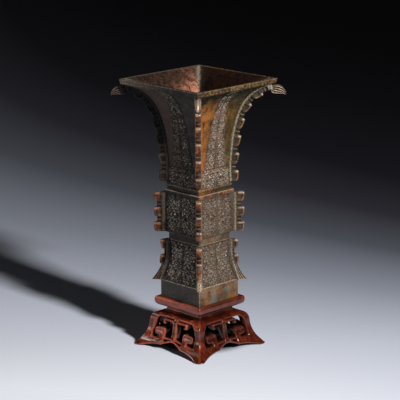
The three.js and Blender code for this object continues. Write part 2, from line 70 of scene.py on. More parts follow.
# Walls of the castings
RELIEF = 0.7  # of the raised fields in the CAD
WALL = 4.0
RIM_WALL = 6.0
LIP_HEIGHT = 5.7
LIP_LEAN = 1.3
MOUTH_INSET = 2.6  # from the flare's upper edge in to the mouth
UNDERCUT = 0.9  # of the flare just below the lip
THROAT_HEIGHT = 20.0
COLLAR_HEIGHT = 6.0
COLLAR_INSET = 0.8
COLLAR_BEAD = 0.6  # how far the bead above the collar stands out
THROAT_HALF = 25.4
NOTCH_HALF = 23.7
NOTCH_HEIGHT = 8.0
FOOT_TOP_HALF = 24.6
PLINTH_HEIGHT = 21.5
SPIGOT_WALL = 2.0
SPIGOT_HEIGHT = 5.0
SEAT_THICKNESS = 3.0
FIT = 0.3
NECK_WAIST = 0.7  # pull inwards where the flare starts
FLARE_LEAN = 1.8  # outward lean of the throat
FLARE_BULGE = 5.0  # outward pull of the flare below the lip
FOOT_SWEEP = 4.2  # pull of the foot's curve inwards above the plinth
FOOT_HOLLOW = 1.8  # pull of the foot's curve inwards below its top
FOOT_INSET = 0.35  # of the wall behind the foot's ornament
PROFILE_STEP = 1.0
EDGE_ROUND = 0.9  # in plan, outside
BORE_ROUND = 3.5  # in plan, inside

BELLY_HALF = BELLY_FIELD_HALF - RELIEF
PLINTH_TOP = FOOT_LOW + PLINTH_HEIGHT
FOOT_TOP = NOTCH_TOP - NOTCH_HEIGHT
COLLAR_TOP = BELLY_TOP + COLLAR_HEIGHT
THROAT_TOP = COLLAR_TOP + THROAT_HEIGHT
LIP_LOW = RIM_TOP - LIP_HEIGHT
FLARE_HALF = RIM_HALF - LIP_LEAN
MOUTH_HALF = FLARE_HALF - MOUTH_INSET
FLARE_HEIGHT = LIP_LOW - THROAT_TOP
FOOT_HEIGHT = FOOT_TOP - PLINTH_TOP

# Worn edges and painted highlights of the walls
WALL_SHADE = 0.6  # the relief mark of a plain wall, neither sunk nor raised
EDGE_REACH = 0.8
SEAM_DEPTH = 50.0  # how far the painted highlight down the inner corners of the mouth runs
SEAM_WIDTH = 2.2
SEAM_SPREAD = 3.0  # how much wider they are at the rim
SEAM_HIGHLIGHT = 0.75
LIP_SHEEN_AND_WEAR = 0.52
LIP_SHEEN_START = 20.0  # place across where the lip starts to grow paler, by painted reflection and rubbing
# pale line down the plinth's corners, worn and also a painted highlight
PLINTH_WEAR_AND_HIGHLIGHT = 0.75
RED_LINE = 1.6  # below the top of the belly
RED_REACH = 1.8

# Fields that carry the cast ornament
ORNAMENT = 0.85  # rise of the fine ornament
FIELD_LIFT = 0.05  # of a field's ground above the wall
FIELD_BACK = 0.9  # depth of a field's back inside the wall
BAND_HEIGHT = 21.0
LEAF_LOW_HALF = 16.5
LEAF_TOP_HALF = 8.0
LEAF_TAPER = 1.7
LEAF_GAP = 0.4
FIELD_EDGE = 1.2
BELLY_EDGE = 3.6
FIELD_CLEAR = 0.6  # between a flange and a field
GRAIN = 0.3
SPIRAL_PITCH = 2.6
SPIRAL_TURNS = 1.15

# Unevenness, roughness and patches of the fields: seed on the front side, and length of a wave
FIELD_WAVES = ((11, 9.0), (31, 2.2), (51, 16.0))

# How far the ornament is rubbed bright, and how red it is in patches, by side
NECK_FIELD = ((0.6, 0.79, 0.65, 0.58), (0.2, 0.6, 0.6, 0.2))
BELLY_FIELD = ((0.71, 0.58, 0.6, 0.66), (0.2, 0.75, 0.6, 0.2))
FOOT_FIELD = ((0.77, 0.64, 0.6, 0.68), (0.2, 0.35, 0.6, 0.2))

# Hooked flanges, measured square to the corner's edge
FLANGE_HALF = 2.8
FLANGE_COVER = FLANGE_HALF * DIAGONAL
FLANGE_ROOT = 3.0  # depth below the corner's edge
FLANGE_GRAIN = 0.32
CREST_ROUND = 1.5
TAB_SHARE = 0.58  # share of one tab and notch that the tab takes
NOTCH_BAR = (TAB_SHARE + 1) / 2  # share at the bar in the middle of a notch
NO_TAB = 0.8  # share that stands for a stretch without tabs
CLAW = 1.4  # how much further a tab's upper end reaches than its lower one
PANEL_DEPTH = 1.3
BEAD_HALF = 1.9
BEAD_RISE = 0.7
NECK_BEAD = -1.5  # middle of the bead, out from the corner's edge
BODY_BEAD = 0.5
NECK_TABS = 6
NECK_TALL = 7.4
NECK_SHRINK = 0.4  # how much lower the topmost tab is
NECK_NOTCH = 1.9
NECK_FLANGE_FOOT = 3.0
NECK_FLANGE_HEAD = 5.0
BEAK_LENGTH = 15.0
BEAK_ROOT = 5.0
BEAK_REACH = 9.0
BEAK_DROP = 12.4
BEAK_RIBS = 4
BODY_NOTCH = 3.2
BELLY_TABS = 3
BELLY_TALL = 10.6
BELLY_FLANGE_HEAD = 3.5
FLANGE_GAP = 0.6  # between a flange and the end of its register
FOOT_TABS = 2
FOOT_TALL = 7.6
FOOT_TAB_RUN = 30.0
TAIL_REACH = 9.6
TAIL_WAIST = 4.6
TAIL_LEVEL_RUN = 14.0  # stretch over which the tail turns level

# How far the heights of a register's flanges are rubbed bright, and how red they are, by corner
NECK_RUB, NECK_RED = (0.82, 0.95, 0.4, 0.08), (1.0, 0.35, 0.3, 0.05)
BODY_RUB = (0.78, 0.84, 0.6, 0.55)
BELLY_RED = (0.9, 0.4, 0.5, 0.65)
FOOT_RED = (1.0, 0.4, 0.5, 0.7)
# Painted shade on the neck's flanges and beaks, on the corners away from the light, by corner
NECK_PAINTED_SHADE = (0.0, 0.0, 0.3, 0.95)
BEAK_RUB = (1.0, 0.76, 0.6, 0.45)

# Stand
STAND_WOOD = 8.0
TOE_THICKNESS = 1.2
KNEE_HALF = 40.0
KNEE_LEVEL = 25.0
SHOULDER_HALF = 28.0
OPENING_TOP = 36.2
OPENING_HALF = 33.0
ARCH_WIDTH = 11.0
ARCH_LEAN = 2.5
ARCH_HEIGHT = 16.0
ARM_TOP = 12.0
ARM_LOW = 7.0
HOOK_TOP = 23.3
HOOK_HALF = 14.5
HOOK_STEM = 7.0
HOOK_BEAK = 8.0
HOOK_HEAD = 8.0
TOE_START = 46.0
TOE_RISE = 6.0
TEE_TOP = 34.5
TEE_LOW = 28.5
TEE_HALF = 18.0
TEE_CURL = 1.4
CURL_BAR = 1.9
FRET_BAR = 2.2
STEM_HALF = 2.9
CUSP_TOP = 15.0
LOW_BAR = 1.9
HEAD_HALF = 20.0
TOE_ROUND = 6.0
RIDGE_ROUND = 1.2
FRET_GRAIN = 0.27
FRET_ROUND = 1.5  # quarter round along every edge of the fret
FILLET = 0.8
EVEN_HALF = 27.0  # columns are even up to here and spread beyond
OUTER_COLUMNS = 54


# Lines and steps

def smooth(low, high, value):
    """Smooth step from 0 at low to 1 at high, 3t^2 - 2t^3 between; low may be the larger one."""
    share = np.clip((value - low) / (high - low), 0, 1)
    return share * share * (3 - 2 * share)


def hump(a, b, c, d, value):
    """Rises smoothly from 0 at a to 1 at b and falls back to 0 between c and d."""
    return smooth(a, b, value) * (1 - smooth(c, d, value))


def unit(vectors):
    """Vectors scaled to length 1."""
    return vectors / np.linalg.norm(vectors, axis=1)[:, None]


def quadratic(start, pull, end, t):
    """Quadratic curve: the three control points weighed by the Bernstein shares of t."""
    return (1 - t) ** 2 * start + 2 * t * (1 - t) * pull + t * t * end


def cubic(start, pull, push, end, count=120):
    """Cubic curve: the four control points weighed by the Bernstein shares of t."""
    t = np.linspace(0, 1, count)[:, None]
    weights = ((1 - t) ** 3, 3 * t * (1 - t) ** 2, 3 * t * t * (1 - t), t ** 3)
    return sum(w * np.array(p) for w, p in zip(weights, (start, pull, push, end)))


def run_of(line):
    """Length run from the start of a line to each of its points."""
    steps = np.linalg.norm(np.diff(line, axis=0), axis=1)
    return np.concatenate([[0.0], np.cumsum(steps)])


def sampled(run, lengths, line):
    """Points of a line, known at some lengths, at other lengths: linear between its points."""
    return np.stack([np.interp(run, lengths, column) for column in line.T], -1)


def along(line, run):
    """Points and outward unit normals of a line at the given lengths, the normal being the tangent
    turned a quarter clockwise."""
    lengths = run_of(line)
    tangent = unit(np.gradient(line, lengths, axis=0))
    normal = np.stack([tangent[:, 1], -tangent[:, 0]], 1)
    return sampled(run, lengths, line), sampled(run, lengths, normal)


def offset(line, wall):
    """A curve moved inwards, square to itself, by a wall that may change along it."""
    at, normal = along(line, run_of(line))
    return at - normal * np.broadcast_to(wall, len(line))[:, None]


def softened(corners, steps=5):
    """Closed outline from corners of (across, up) or (across, up, radius): a corner with a radius is a
    quadratic curve that leaves one side and joins the next at that distance from the corner."""
    points = np.array([c[:2] for c in corners], float)
    before = unit(points - np.roll(points, 1, 0))
    after = unit(np.roll(points, -1, 0) - points)
    t = np.linspace(0, 1, steps)[:, None]
    made = []
    for point, inward, outward, corner in zip(points, before, after, corners):
        if len(corner) == 2:
            made.append(point[None])
        else:
            radius = corner[2]
            made.append(quadratic(point - inward * radius, point, point + outward * radius, t))
    return np.concatenate(made)


def divided(outline, step):
    """The same closed outline with extra points, so that no two are further apart than a step."""
    closed = np.concatenate([outline, outline[:1]])
    lengths = run_of(closed)
    return sampled(np.union1d(lengths[:-1], np.arange(0, lengths[-1], step)), lengths, closed)


def turned(points, quarter):
    """Points turned about the upright axis by quarter turns."""
    c, s = ((1, 0), (0, 1), (-1, 0), (0, -1))[quarter]
    x, y, z = points[..., 0], points[..., 1], points[..., 2]
    return np.stack([c * x - s * y, s * x + c * y, z], -1)


def there_and_back(part, sign=1):
    """Columns that run out along one side and back along the other."""
    return np.concatenate([part, sign * part[:, ::-1]], 1)


def waves(u, v, seed, reach):
    """Gentle unevenness, mostly from -1 to 1: twice the mean of seven sine waves in seeded directions."""
    turn = 6.28  # nearly two pi
    total = np.zeros(np.broadcast(u, v).shape)
    for angle, phase, stretch in np.random.default_rng(seed).random((7, 3)):
        pull = 2 * math.pi * (0.6 + stretch) / reach
        total += np.sin(pull * (u * math.cos(turn * angle) + v * math.sin(turn * angle)) + turn * phase)
    return total / 3.5


# Meshes

def ring_faces(rows, cols, wrap):
    """Quads of a grid whose columns run round a closed loop, and the loops of its open ends."""
    row = np.arange(rows if wrap else rows - 1)[:, None]
    col = np.arange(cols)[None, :]
    next_row, next_col = (row + 1) % rows, (col + 1) % cols
    corners = (row * cols + col, row * cols + next_col, next_row * cols + next_col, next_row * cols + col)
    quads = np.stack(np.broadcast_arrays(*corners), -1).reshape(-1, 4)
    loop = np.arange(cols)
    return quads, [] if wrap else [loop[::-1], loop + (rows - 1) * cols]


def volume_of(points, quads):
    """Signed volume: the sum of the corner products of all triangles."""
    a, b, c, d = (points[quads[:, k]] for k in range(4))
    return (np.einsum("ij,ij->", a, np.cross(b, c)) + np.einsum("ij,ij->", a, np.cross(c, d))) / 6


def make_piece(name, points, faces, marks, material, body, nodes=(), sharp=40):
    """Puts points (mm) and faces into a mesh object that rides a body and stands for CAD nodes."""
    mesh = bpy.data.meshes.new(name)
    mesh.from_pydata((points * MM).tolist(), [], faces)
    for mark, values in marks.items():
        layer = mesh.attributes.new(mark, "FLOAT", "POINT")
        layer.data.foreach_set("value", np.ascontiguousarray(values, np.float32))
    mesh.polygons.foreach_set("use_smooth", np.ones(len(mesh.polygons), bool))
    mesh.set_sharp_from_angle(angle=math.radians(sharp))
    mesh.materials.append(material)
    piece = bpy.data.objects.new(name, mesh)
    bpy.context.scene.collection.objects.link(piece)
    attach(piece, body)
    if nodes:
        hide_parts(*nodes)


def ring_piece(name, shells, material, body, nodes=(), sharp=40):
    """One piece from shells of (points, marks, wrap): grids closed round their columns, with
    their faces turned outwards and their open ends capped."""
    points, faces, marks, first = [], [], {}, 0
    for grid, shell_marks, wrap in shells:
        rows, cols, _ = grid.shape
        flat = grid.reshape(-1, 3)
        quads, ends = ring_faces(rows, cols, wrap)
        if volume_of(flat, quads) < 0:
            quads, ends = quads[:, ::-1], [end[::-1] for end in ends]
        faces += (quads + first).tolist() + [(end + first).tolist() for end in ends]
        points.append(flat)
        for mark, values in shell_marks.items():
            marks.setdefault(mark, []).append(np.broadcast_to(values, (rows, cols)).ravel())
        first += len(flat)
    marks = {mark: np.concatenate(values) for mark, values in marks.items()}
    make_piece(name, np.concatenate(points), faces, marks, material, body, nodes, sharp)


# Bronze walls

def square_ring(profile, radius):
    """A profile of (half width, level) carried round a square plan with rounded corners: each
    quarter runs from the middle of one side, round the corner's arc, to the middle of the next."""
    half, level = profile[:, :1], profile[:, 1:]
    corner = np.minimum(np.broadcast_to(radius, half.shape), half)
    straight = half - corner
    angle = np.linspace(0, math.pi / 2, 7)[None, :]
    side = np.array([0, 0.35, 0.7, 0.92, 0.99])[None, :]
    back = side[:, :0:-1]
    x = np.concatenate([half + 0 * side, straight + corner * np.cos(angle), straight * back], 1)
    y = np.concatenate([straight * side, straight + corner * np.sin(angle), half + 0 * back], 1)
    quarter = np.stack([x, y, level + 0 * x], -1)
    return np.concatenate([turned(quarter, q) for q in range(4)], 1)


def near(profile, ridges, reach):
    """Worn paleness of profile points, which also paints highlights, by a list of edges, each a half
    width, a level and its strength: the largest of the bell curves of the distances, times that edge's
    strength."""
    bells = [
        wear * np.exp(-(np.linalg.norm(profile - (half, level), axis=1) / reach) ** 2)
        for half, level, wear in ridges
    ]
    return np.max(bells, 0)[:, None]


def wall_middle(line, level):
    """Half width of the middle of the wall behind a line, at a level."""
    return np.interp(level, line[:, 1], line[:, 0]) - WALL / 2


def wall_piece(register, corners, ridges, limit, material):
    """A casting's wall: its softened closed profile carried round the square plan. Points within the
    limit that a level has are inside. Its ridges and the plinth's corners are worn pale by bell curves
    of the distance, the belly's top edge and the plinth's corners also as painted highlights; the inner
    corners of the mouth get a painted highlight by a bell curve, and the lip grows paler towards the
    left by a smooth step, a painted reflection and rubbing. A line below the belly's top is red on the
    sunny half."""
    profile = divided(softened(corners), PROFILE_STEP)
    level = profile[:, 1:]
    bore = (profile[:, :1] < limit(level)) * 1.0
    ring = square_ring(profile, EDGE_ROUND + (BORE_ROUND - EDGE_ROUND) * bore)
    x, y = ring[..., 0], ring[..., 1]
    aside = np.abs(np.abs(x) - np.abs(y))
    # Painted highlight down the rounded inner corners of the mouth, wider towards the rim
    mouth = smooth(RIM_TOP - SEAM_DEPTH, RIM_TOP, ring[..., 2])
    seam_highlight = SEAM_HIGHLIGHT * np.exp(-(aside / (SEAM_WIDTH + SEAM_SPREAD * mouth)) ** 2) * bore * mouth
    # The lip grows paler towards the left: a painted reflection and rubbing
    lip = LIP_SHEEN_AND_WEAR * (1 - bore) * (level > LIP_LOW) * smooth(LIP_SHEEN_START, -RIM_HALF, x)
    # Pale line down the plinth's corners: worn, and a painted highlight
    corner = PLINTH_WEAR_AND_HIGHLIGHT * np.exp(-(aside / EDGE_REACH) ** 2) * (1 - bore) * (level < PLINTH_TOP)
    worn = np.max(np.broadcast_arrays(near(profile, ridges, EDGE_REACH), lip, seam_highlight, corner), 0)
    red = near(profile, [(BELLY_HALF, BELLY_TOP - RED_LINE, 0.9)], RED_REACH) * smooth(-4, 4, x + y)
    marks = {"wear": worn, "relief": WALL_SHADE, "inside": bore, "rust": red}
    ring_piece(f"{register}_wall", [(ring, marks, True)], material, "vessel", [register])


FLARE = cubic(
    (THROAT_HALF - NECK_WAIST, THROAT_TOP),
    (THROAT_HALF + FLARE_LEAN, THROAT_TOP + 0.52 * FLARE_HEIGHT),
    (THROAT_HALF + FLARE_BULGE, THROAT_TOP + 0.92 * FLARE_HEIGHT),
    (FLARE_HALF, LIP_LOW),
)
NECK_LINE = np.concatenate([[(THROAT_HALF, COLLAR_TOP)], FLARE])
BELLY_LINE = np.array([(BELLY_HALF, level) for level in (NOTCH_TOP, (NOTCH_TOP + BELLY_TOP) / 2, BELLY_TOP)])
FOOT_LINE = cubic(
    (PLINTH_HALF, PLINTH_TOP),
    (PLINTH_HALF - FOOT_SWEEP, PLINTH_TOP + 0.36 * FOOT_HEIGHT),
    (FOOT_TOP_HALF - FOOT_HOLLOW, PLINTH_TOP + 0.56 * FOOT_HEIGHT),
    (FOOT_TOP_HALF, FOOT_TOP),
)


def neck_wall(material):
    """Spigot, collar, throat, flare and lip outside; rim, flare and bore inside."""
    spigot = BELLY_HALF - WALL - FIT
    bore = min(spigot - SPIGOT_WALL, THROAT_HALF - WALL)
    collar, bead = THROAT_HALF - COLLAR_INSET, THROAT_HALF + COLLAR_BEAD
    share = np.linspace(0, 1, len(FLARE))
    inner = offset(FLARE, WALL + (RIM_WALL - WALL) * share ** 2)[: int(0.97 * len(FLARE))]
    under = FLARE - np.stack([UNDERCUT * smooth(0.88, 1.0, share), 0 * share], 1)
    corners = [
        (spigot, SPIGOT_LOW),
        (spigot, BELLY_TOP),
        (collar, BELLY_TOP + 0.05),
        (collar, COLLAR_TOP - 3.2, 0.5),
        (bead, COLLAR_TOP - 2.6, 0.5),
        (bead, COLLAR_TOP - 0.4, 0.8),
        (THROAT_HALF, COLLAR_TOP + 0.4),
        *under,
        (FLARE_HALF + 0.2, LIP_LOW + 0.1, 0.3),
        (RIM_HALF, RIM_TOP, 0.7),
        (MOUTH_HALF, RIM_TOP, 0.9),
        *inner[::-1],
        (THROAT_HALF - WALL, COLLAR_TOP),
        (bore, COLLAR_TOP - 0.5),
        (bore, SPIGOT_LOW),
    ]

    def limit(level):
        """The wall's middle, and within the lip the mouth's edge."""
        return np.where(level > LIP_LOW, MOUTH_HALF - 0.3, wall_middle(NECK_LINE, level))

    ridges = [(RIM_HALF, RIM_TOP, 0.6), (bead, COLLAR_TOP - 0.4, 0.5)]
    wall_piece("neck", corners, ridges, limit, material)


def belly_wall(material):
    """Square box section with the floor's ledge and the spigot below it."""
    spigot = NOTCH_HALF - WALL - FIT
    bore = BELLY_HALF - WALL
    low = NOTCH_TOP - SPIGOT_HEIGHT
    corners = [
        (spigot, low),
        (spigot, NOTCH_TOP),
        (BELLY_HALF, NOTCH_TOP, 0.7),
        (BELLY_HALF, BELLY_TOP, 0.9),
        (bore, BELLY_TOP),
        (bore, NOTCH_TOP + SEAT_THICKNESS),
        (spigot - SPIGOT_WALL, NOTCH_TOP + SEAT_THICKNESS),
        (spigot - SPIGOT_WALL, low),
    ]
    # The belly's top edges are worn and also painted bright as a highlight
    ridges = [(BELLY_HALF, BELLY_TOP, 1), (BELLY_HALF - 1, BELLY_TOP, 1), (BELLY_HALF, NOTCH_TOP, 0.4)]
    wall_piece("belly", corners, ridges, lambda level: bore + 0.5, material)


def foot_wall(material):
    """Plinth, swept foot and notch band outside, one even wall inside."""
    inner = offset(FOOT_LINE, WALL)[: int(0.94 * len(FOOT_LINE))]
    corners = [
        (PLINTH_HALF, FOOT_LOW, 0.4),
        (PLINTH_HALF, PLINTH_TOP - 0.2, 0.6),
        *(FOOT_LINE[4:-2] - (FOOT_INSET, 0)),
        (FOOT_TOP_HALF, FOOT_TOP, 0.8),
        (NOTCH_HALF, FOOT_TOP, 0.4),
        (NOTCH_HALF, NOTCH_TOP),
        (NOTCH_HALF - WALL, NOTCH_TOP),
        (NOTCH_HALF - WALL, FOOT_TOP),
        *inner[::-1],
        (PLINTH_HALF - WALL, FOOT_LOW),
    ]

    def limit(level):
        """The swept wall's middle, narrower at the plinth, and nothing above the swept part."""
        return np.where(level < FOOT_TOP, np.minimum(wall_middle(FOOT_LINE, level), NOTCH_HALF + 2), 0)

    ridges = [(PLINTH_HALF, PLINTH_TOP, 0.7), (FOOT_TOP_HALF, FOOT_TOP, 0.8)]
    wall_piece("foot", corners, ridges, limit, material)


# Cast ornament as height fields

def squared_spirals(u, v):
    """Ground of squared spirals, up to 1 on the lines and 0 between: in each cell the larger of the
    two distances from its middle, times the turns, less the share of the way round the square, with
    the hand, the start and the height of each cell drawn from its place."""
    column, row = np.floor(u / SPIRAL_PITCH), np.floor(v / SPIRAL_PITCH)
    draw = (np.sin(column * 12.9898 + row * 78.233) * 43758.5453) % 1
    a = (u / SPIRAL_PITCH - column) * 2 - 1
    b = (v / SPIRAL_PITCH - row) * 2 - 1
    a = np.where((column + row) % 2 == 0, a, -a)
    reach = np.maximum(np.abs(a), np.abs(b))
    safe = np.maximum(reach, 1e-6)
    upright = np.where(a > 0, b / safe, 4 - b / safe)
    level = np.where(b > 0, 2 - a / safe, 6 + a / safe)
    share = np.where(np.abs(a) >= np.abs(b), upright, level) / 8
    wave = 0.5 + 0.5 * np.cos(2 * math.pi * (reach * SPIRAL_TURNS - share + 0.5 * draw))
    return smooth(0.3, 0.62, wave) * (1 - smooth(0.88, 0.97, reach)) * (0.62 + 0.38 * ((7 * draw) % 1))


def stroke_gap(u, v, lines):
    """Distance of every grid point to the nearest of several open lines of points."""
    best = np.full(np.broadcast(u, v).shape, 1e3)
    for line in lines:
        line = np.asarray(line, float)
        for (ax, ay), (bx, by) in zip(line[:-1], line[1:]):
            dx, dy = bx - ax, by - ay
            share = np.clip(((u - ax) * dx + (v - ay) * dy) / (dx * dx + dy * dy), 0, 1)
            best = np.minimum(best, np.hypot(u - ax - share * dx, v - ay - share * dy))
    return best


def scroll(middle, radius, start, turns, inner=0.35, count=22):
    """A scroll's line: a circle's arc from a start angle, its radius shrinking evenly to a share."""
    t = np.linspace(0, 1, count)
    angle = math.radians(start) + 2 * math.pi * turns * t
    size = radius * (1 - (1 - inner) * t)
    return np.stack([middle[0] + size * np.cos(angle), middle[1] + size * np.sin(angle)], 1)


def carved(u, v, strokes, half_width, bosses=()):
    """Height from 0 to 1.1: the ground of squared spirals runs over everything, the strokes of the
    figure lie a little higher than it, and round bosses stand in a sunk ring."""
    gap = stroke_gap(u, v, strokes)
    height = 0.8 * squared_spirals(u, v) + 0.16 * (1 - smooth(half_width - 0.3, half_width + 0.3, gap))
    for x, y, radius in bosses:
        away = np.hypot(u - x, v - y)
        ring = smooth(radius + 0.2, radius + 0.7, away)
        dome = np.sqrt(np.clip(1 - (away / radius) ** 2, 0, 1))
        height = np.maximum(height * ring, dome * 1.1)
    return height


def panelled(height, u, v, half, ridge, ridge_half, clear):
    """The same height with a plain ridge up the middle, clear ground beside it and a fine plain edge."""
    side = np.abs(u)
    middle = ridge * (1 - smooth(ridge_half, 0.8, side))
    height = np.maximum(height * smooth(clear, clear + 0.4, side), middle)
    edge = np.minimum(half - side, np.minimum(v, v.max() - v))
    return np.maximum(height * smooth(0.5, 0.9, edge), 0.4 * (1 - smooth(0.3, 0.6, edge)))


def leaf_height(u, v, half):
    """Upright leaf: a plain border each side, a double line up the middle, hooked scrolls in
    pairs that shrink upwards, and squared spirals between them."""
    side = np.abs(u)
    strokes = []
    for step in range(5):
        level = 10 + 18.5 * step
        middle = 6.6 - 0.95 * step
        size = 3.1 - 0.32 * step
        strokes.append(scroll((middle, level), size, -60, 1.25))
        strokes.append([(middle + size * 0.5, level - size * 0.87), (middle - 1.6, level - size - 3.2)])
        strokes.append([(middle - 2.6, level + size + 2.4), (middle + 1.9, level + size + 4.6)])
    edge = half - side
    height = carved(side, v, strokes, 0.9) * smooth(1.15, 1.45, edge)
    height = np.maximum(height, 0.45 * (1 - smooth(0.75, 1.0, edge)))
    spine = 0.55 * (1 - smooth(0.12, 0.4, np.abs(side - 0.62)))
    return np.where(side < 1.15, spine, height)


def band_height(u, v, half):
    """Band: two long-tailed beasts facing a middle ridge, on squared spirals."""
    strokes = [
        [(2.4, 17.5), (2.4, 9), (5.2, 6.2), (9.2, 6.2)],
        [(4.6, 17.8), (12, 17.8), (14.4, 15.4), (14.4, 9.2)],
        scroll((18.4, 12.6), 3.0, 200, 1.3),
        [(12.2, 3.4), (16.2, 3.4), (18.6, 6.2)],
        [(4.2, 3.2), (9.4, 3.2)],
    ]
    eye = (8.6, 12.2, 1.6)
    return panelled(carved(np.abs(u), v, strokes, 1.2, [eye]), u, v, half, 0.6, 0.45, 0.8)


def belly_height(u, v, half):
    """Belly: a traditional mask of hooked bars round two bosses, on squared spirals."""
    strokes = [
        [(3.2, 37), (3.2, 31), (8, 31), (11.5, 34.5)],
        scroll((14.2, 34.4), 2.9, 180, -1.2),
        [(4.6, 27.2), (9.6, 28.2), (14.6, 27.2)],
        [(2.6, 25), (2.6, 13), (5.4, 10)],
        scroll((7.4, 8.4), 2.8, 140, -1.2),
        [(12.8, 6), (16.6, 9.8), (16.6, 14)],
        [(6, 15.4), (12.4, 15.4), (14.6, 17.8)],
        [(18.2, 29), (18.2, 19.5), (16, 18.2)],
        [(12.8, 4), (18.2, 4)],
    ]
    eye = (9.4, 21.6, 1.8)
    return panelled(carved(np.abs(u), v, strokes, 1.3, [eye]), u, v, half, 0.5, 0.4, 0.9)


def foot_height(u, v, half):
    """Foot: stacked bars above, swept scrolls below, on squared spirals."""
    strokes = [
        *[[(3.0, level), (15.2 - 1.2 * k, level)] for k, level in enumerate((36.6, 33.4, 30.2))],
        [(2.8, 26.5), (8.2, 26.5), (13.8, 22), (17.4, 15.2)],
        scroll((9.2, 17.6), 3.6, 80, 1.3),
        [(2.8, 21.4), (2.8, 10), (6.4, 6.4)],
        [(9.2, 8.6), (14.2, 10.6), (18.4, 5.4)],
        [(6.0, 3.4), (13.6, 3.4)],
    ]
    boss = (16.4, 27.8, 1.4)
    return panelled(carved(np.abs(u), v, strokes, 1.3, [boss]), u, v, half, 0.5, 0.4, 0.9)


def field_rows(length):
    """Number of rows of a field at the grain of the fine ornament."""
    return max(8, round(length / GRAIN))


def field_pieces(stem, line, start, half, length, pattern, look, material):
    """One field on each of the four sides: its height field stands on the wall's line, square to
    it, and closes through a back that lies inside the wall. Waves make it uneven, and its heights
    are worn and in patches red."""
    rub, rust = look
    rows, cols = field_rows(length), max(8, round(2 * np.max(half) / GRAIN))
    half = np.broadcast_to(half, rows)[:, None]
    u = np.linspace(-1, 1, cols)[None, :] * half
    v = np.linspace(0, length, rows)[:, None] + 0 * u
    even = pattern(u, v, half)
    across = np.concatenate([u, u[:, -1:], u[:, :1]], 1)
    at, normal = along(line, start + v[:, :1])

    def closed(front, back=0.0):
        """Values of a front with two columns more for its back."""
        return np.concatenate([front, np.full((rows, 2), back)], 1)

    for quarter, name in enumerate(SIDES):
        uneven, rough, patchy = (waves(u, v, seed + quarter, reach) for seed, reach in FIELD_WAVES)
        height = even * (0.86 + 0.14 * uneven) + 0.03 * rough
        lift = closed(ORNAMENT * height + FIELD_LIFT, -FIELD_BACK)
        x, z = at[..., 0] + normal[..., 0] * lift, at[..., 1] + normal[..., 1] * lift
        grid = turned(np.stack([across, -x, z], -1), quarter)
        marks = {
            "relief": closed(height),
            "wear": closed(rub[quarter] * (0.94 + 0.14 * patchy) * smooth(0.3, 0.65, height)),
            "rust": closed(rust[quarter] * smooth(0.2, 0.8, uneven)),
        }
        ring_piece(f"{stem}_{name}", [(grid, marks, False)], material, "vessel", sharp=75)


def cast_fields(material):
    """Leaf and band on the neck, and the fields of the belly and the foot."""
    neck_run = run_of(NECK_LINE)
    leaf_start = float(np.interp(COLLAR_TOP + BAND_HEIGHT + LEAF_GAP, NECK_LINE[:, 1], neck_run))
    leaf_length = neck_run[-1] - leaf_start - LEAF_GAP
    taper = (1 - np.linspace(0, 1, field_rows(leaf_length))) ** LEAF_TAPER
    leaf_half = LEAF_TOP_HALF + (LEAF_LOW_HALF - LEAF_TOP_HALF) * taper
    inset = FLANGE_COVER + FIELD_CLEAR
    belly_length = BELLY_TOP - NOTCH_TOP - FIELD_EDGE - BELLY_EDGE
    foot_run = run_of(FOOT_LINE)
    foot_length = foot_run[-1] - 2 * FIELD_EDGE
    foot_rise = FIELD_EDGE + np.linspace(0, foot_length, field_rows(foot_length))
    foot_half = np.interp(foot_rise, foot_run, FOOT_LINE[:, 0]) - inset
    band_half, belly_half = THROAT_HALF - inset, BELLY_HALF - inset
    for stem, line, start, half, length, pattern, look in (
        ("neck_leaf", NECK_LINE, leaf_start, leaf_half, leaf_length, leaf_height, NECK_FIELD),
        ("neck_band", NECK_LINE, 0.0, band_half, BAND_HEIGHT, band_height, NECK_FIELD),
        ("belly_field", BELLY_LINE, FIELD_EDGE, belly_half, belly_length, belly_height, BELLY_FIELD),
        ("foot_field", FOOT_LINE, FIELD_EDGE, foot_half, foot_length, foot_height, FOOT_FIELD),
    ):
        field_pieces(stem, line, start, half, length, pattern, look, material)


# Hooked flanges

def corner_points(diagonal, sideways, level, quarter):
    """Points at a distance out along the front right diagonal and sideways of it, quarter turned."""
    x, y = (diagonal + sideways) / DIAGONAL, (sideways - diagonal) / DIAGONAL
    return turned(np.stack([x, y, level], -1), quarter)


def tab_crest(phase, tall, notch):
    """Height of a row of tabs above the corner's edge: domed on the tab, leaning out towards its
    upper end, and lower by the notch's depth between tabs."""
    on = hump(-0.03, 0.02, TAB_SHARE - 0.02, TAB_SHARE + 0.03, phase)
    on = np.maximum(on, smooth(0.98, 1.03, phase))
    across = np.clip(phase / TAB_SHARE, 0, 1) * 2 - 1
    return tall - notch * (1 - on) + (CLAW / 2 * across + 0.5 - across ** 4) * on


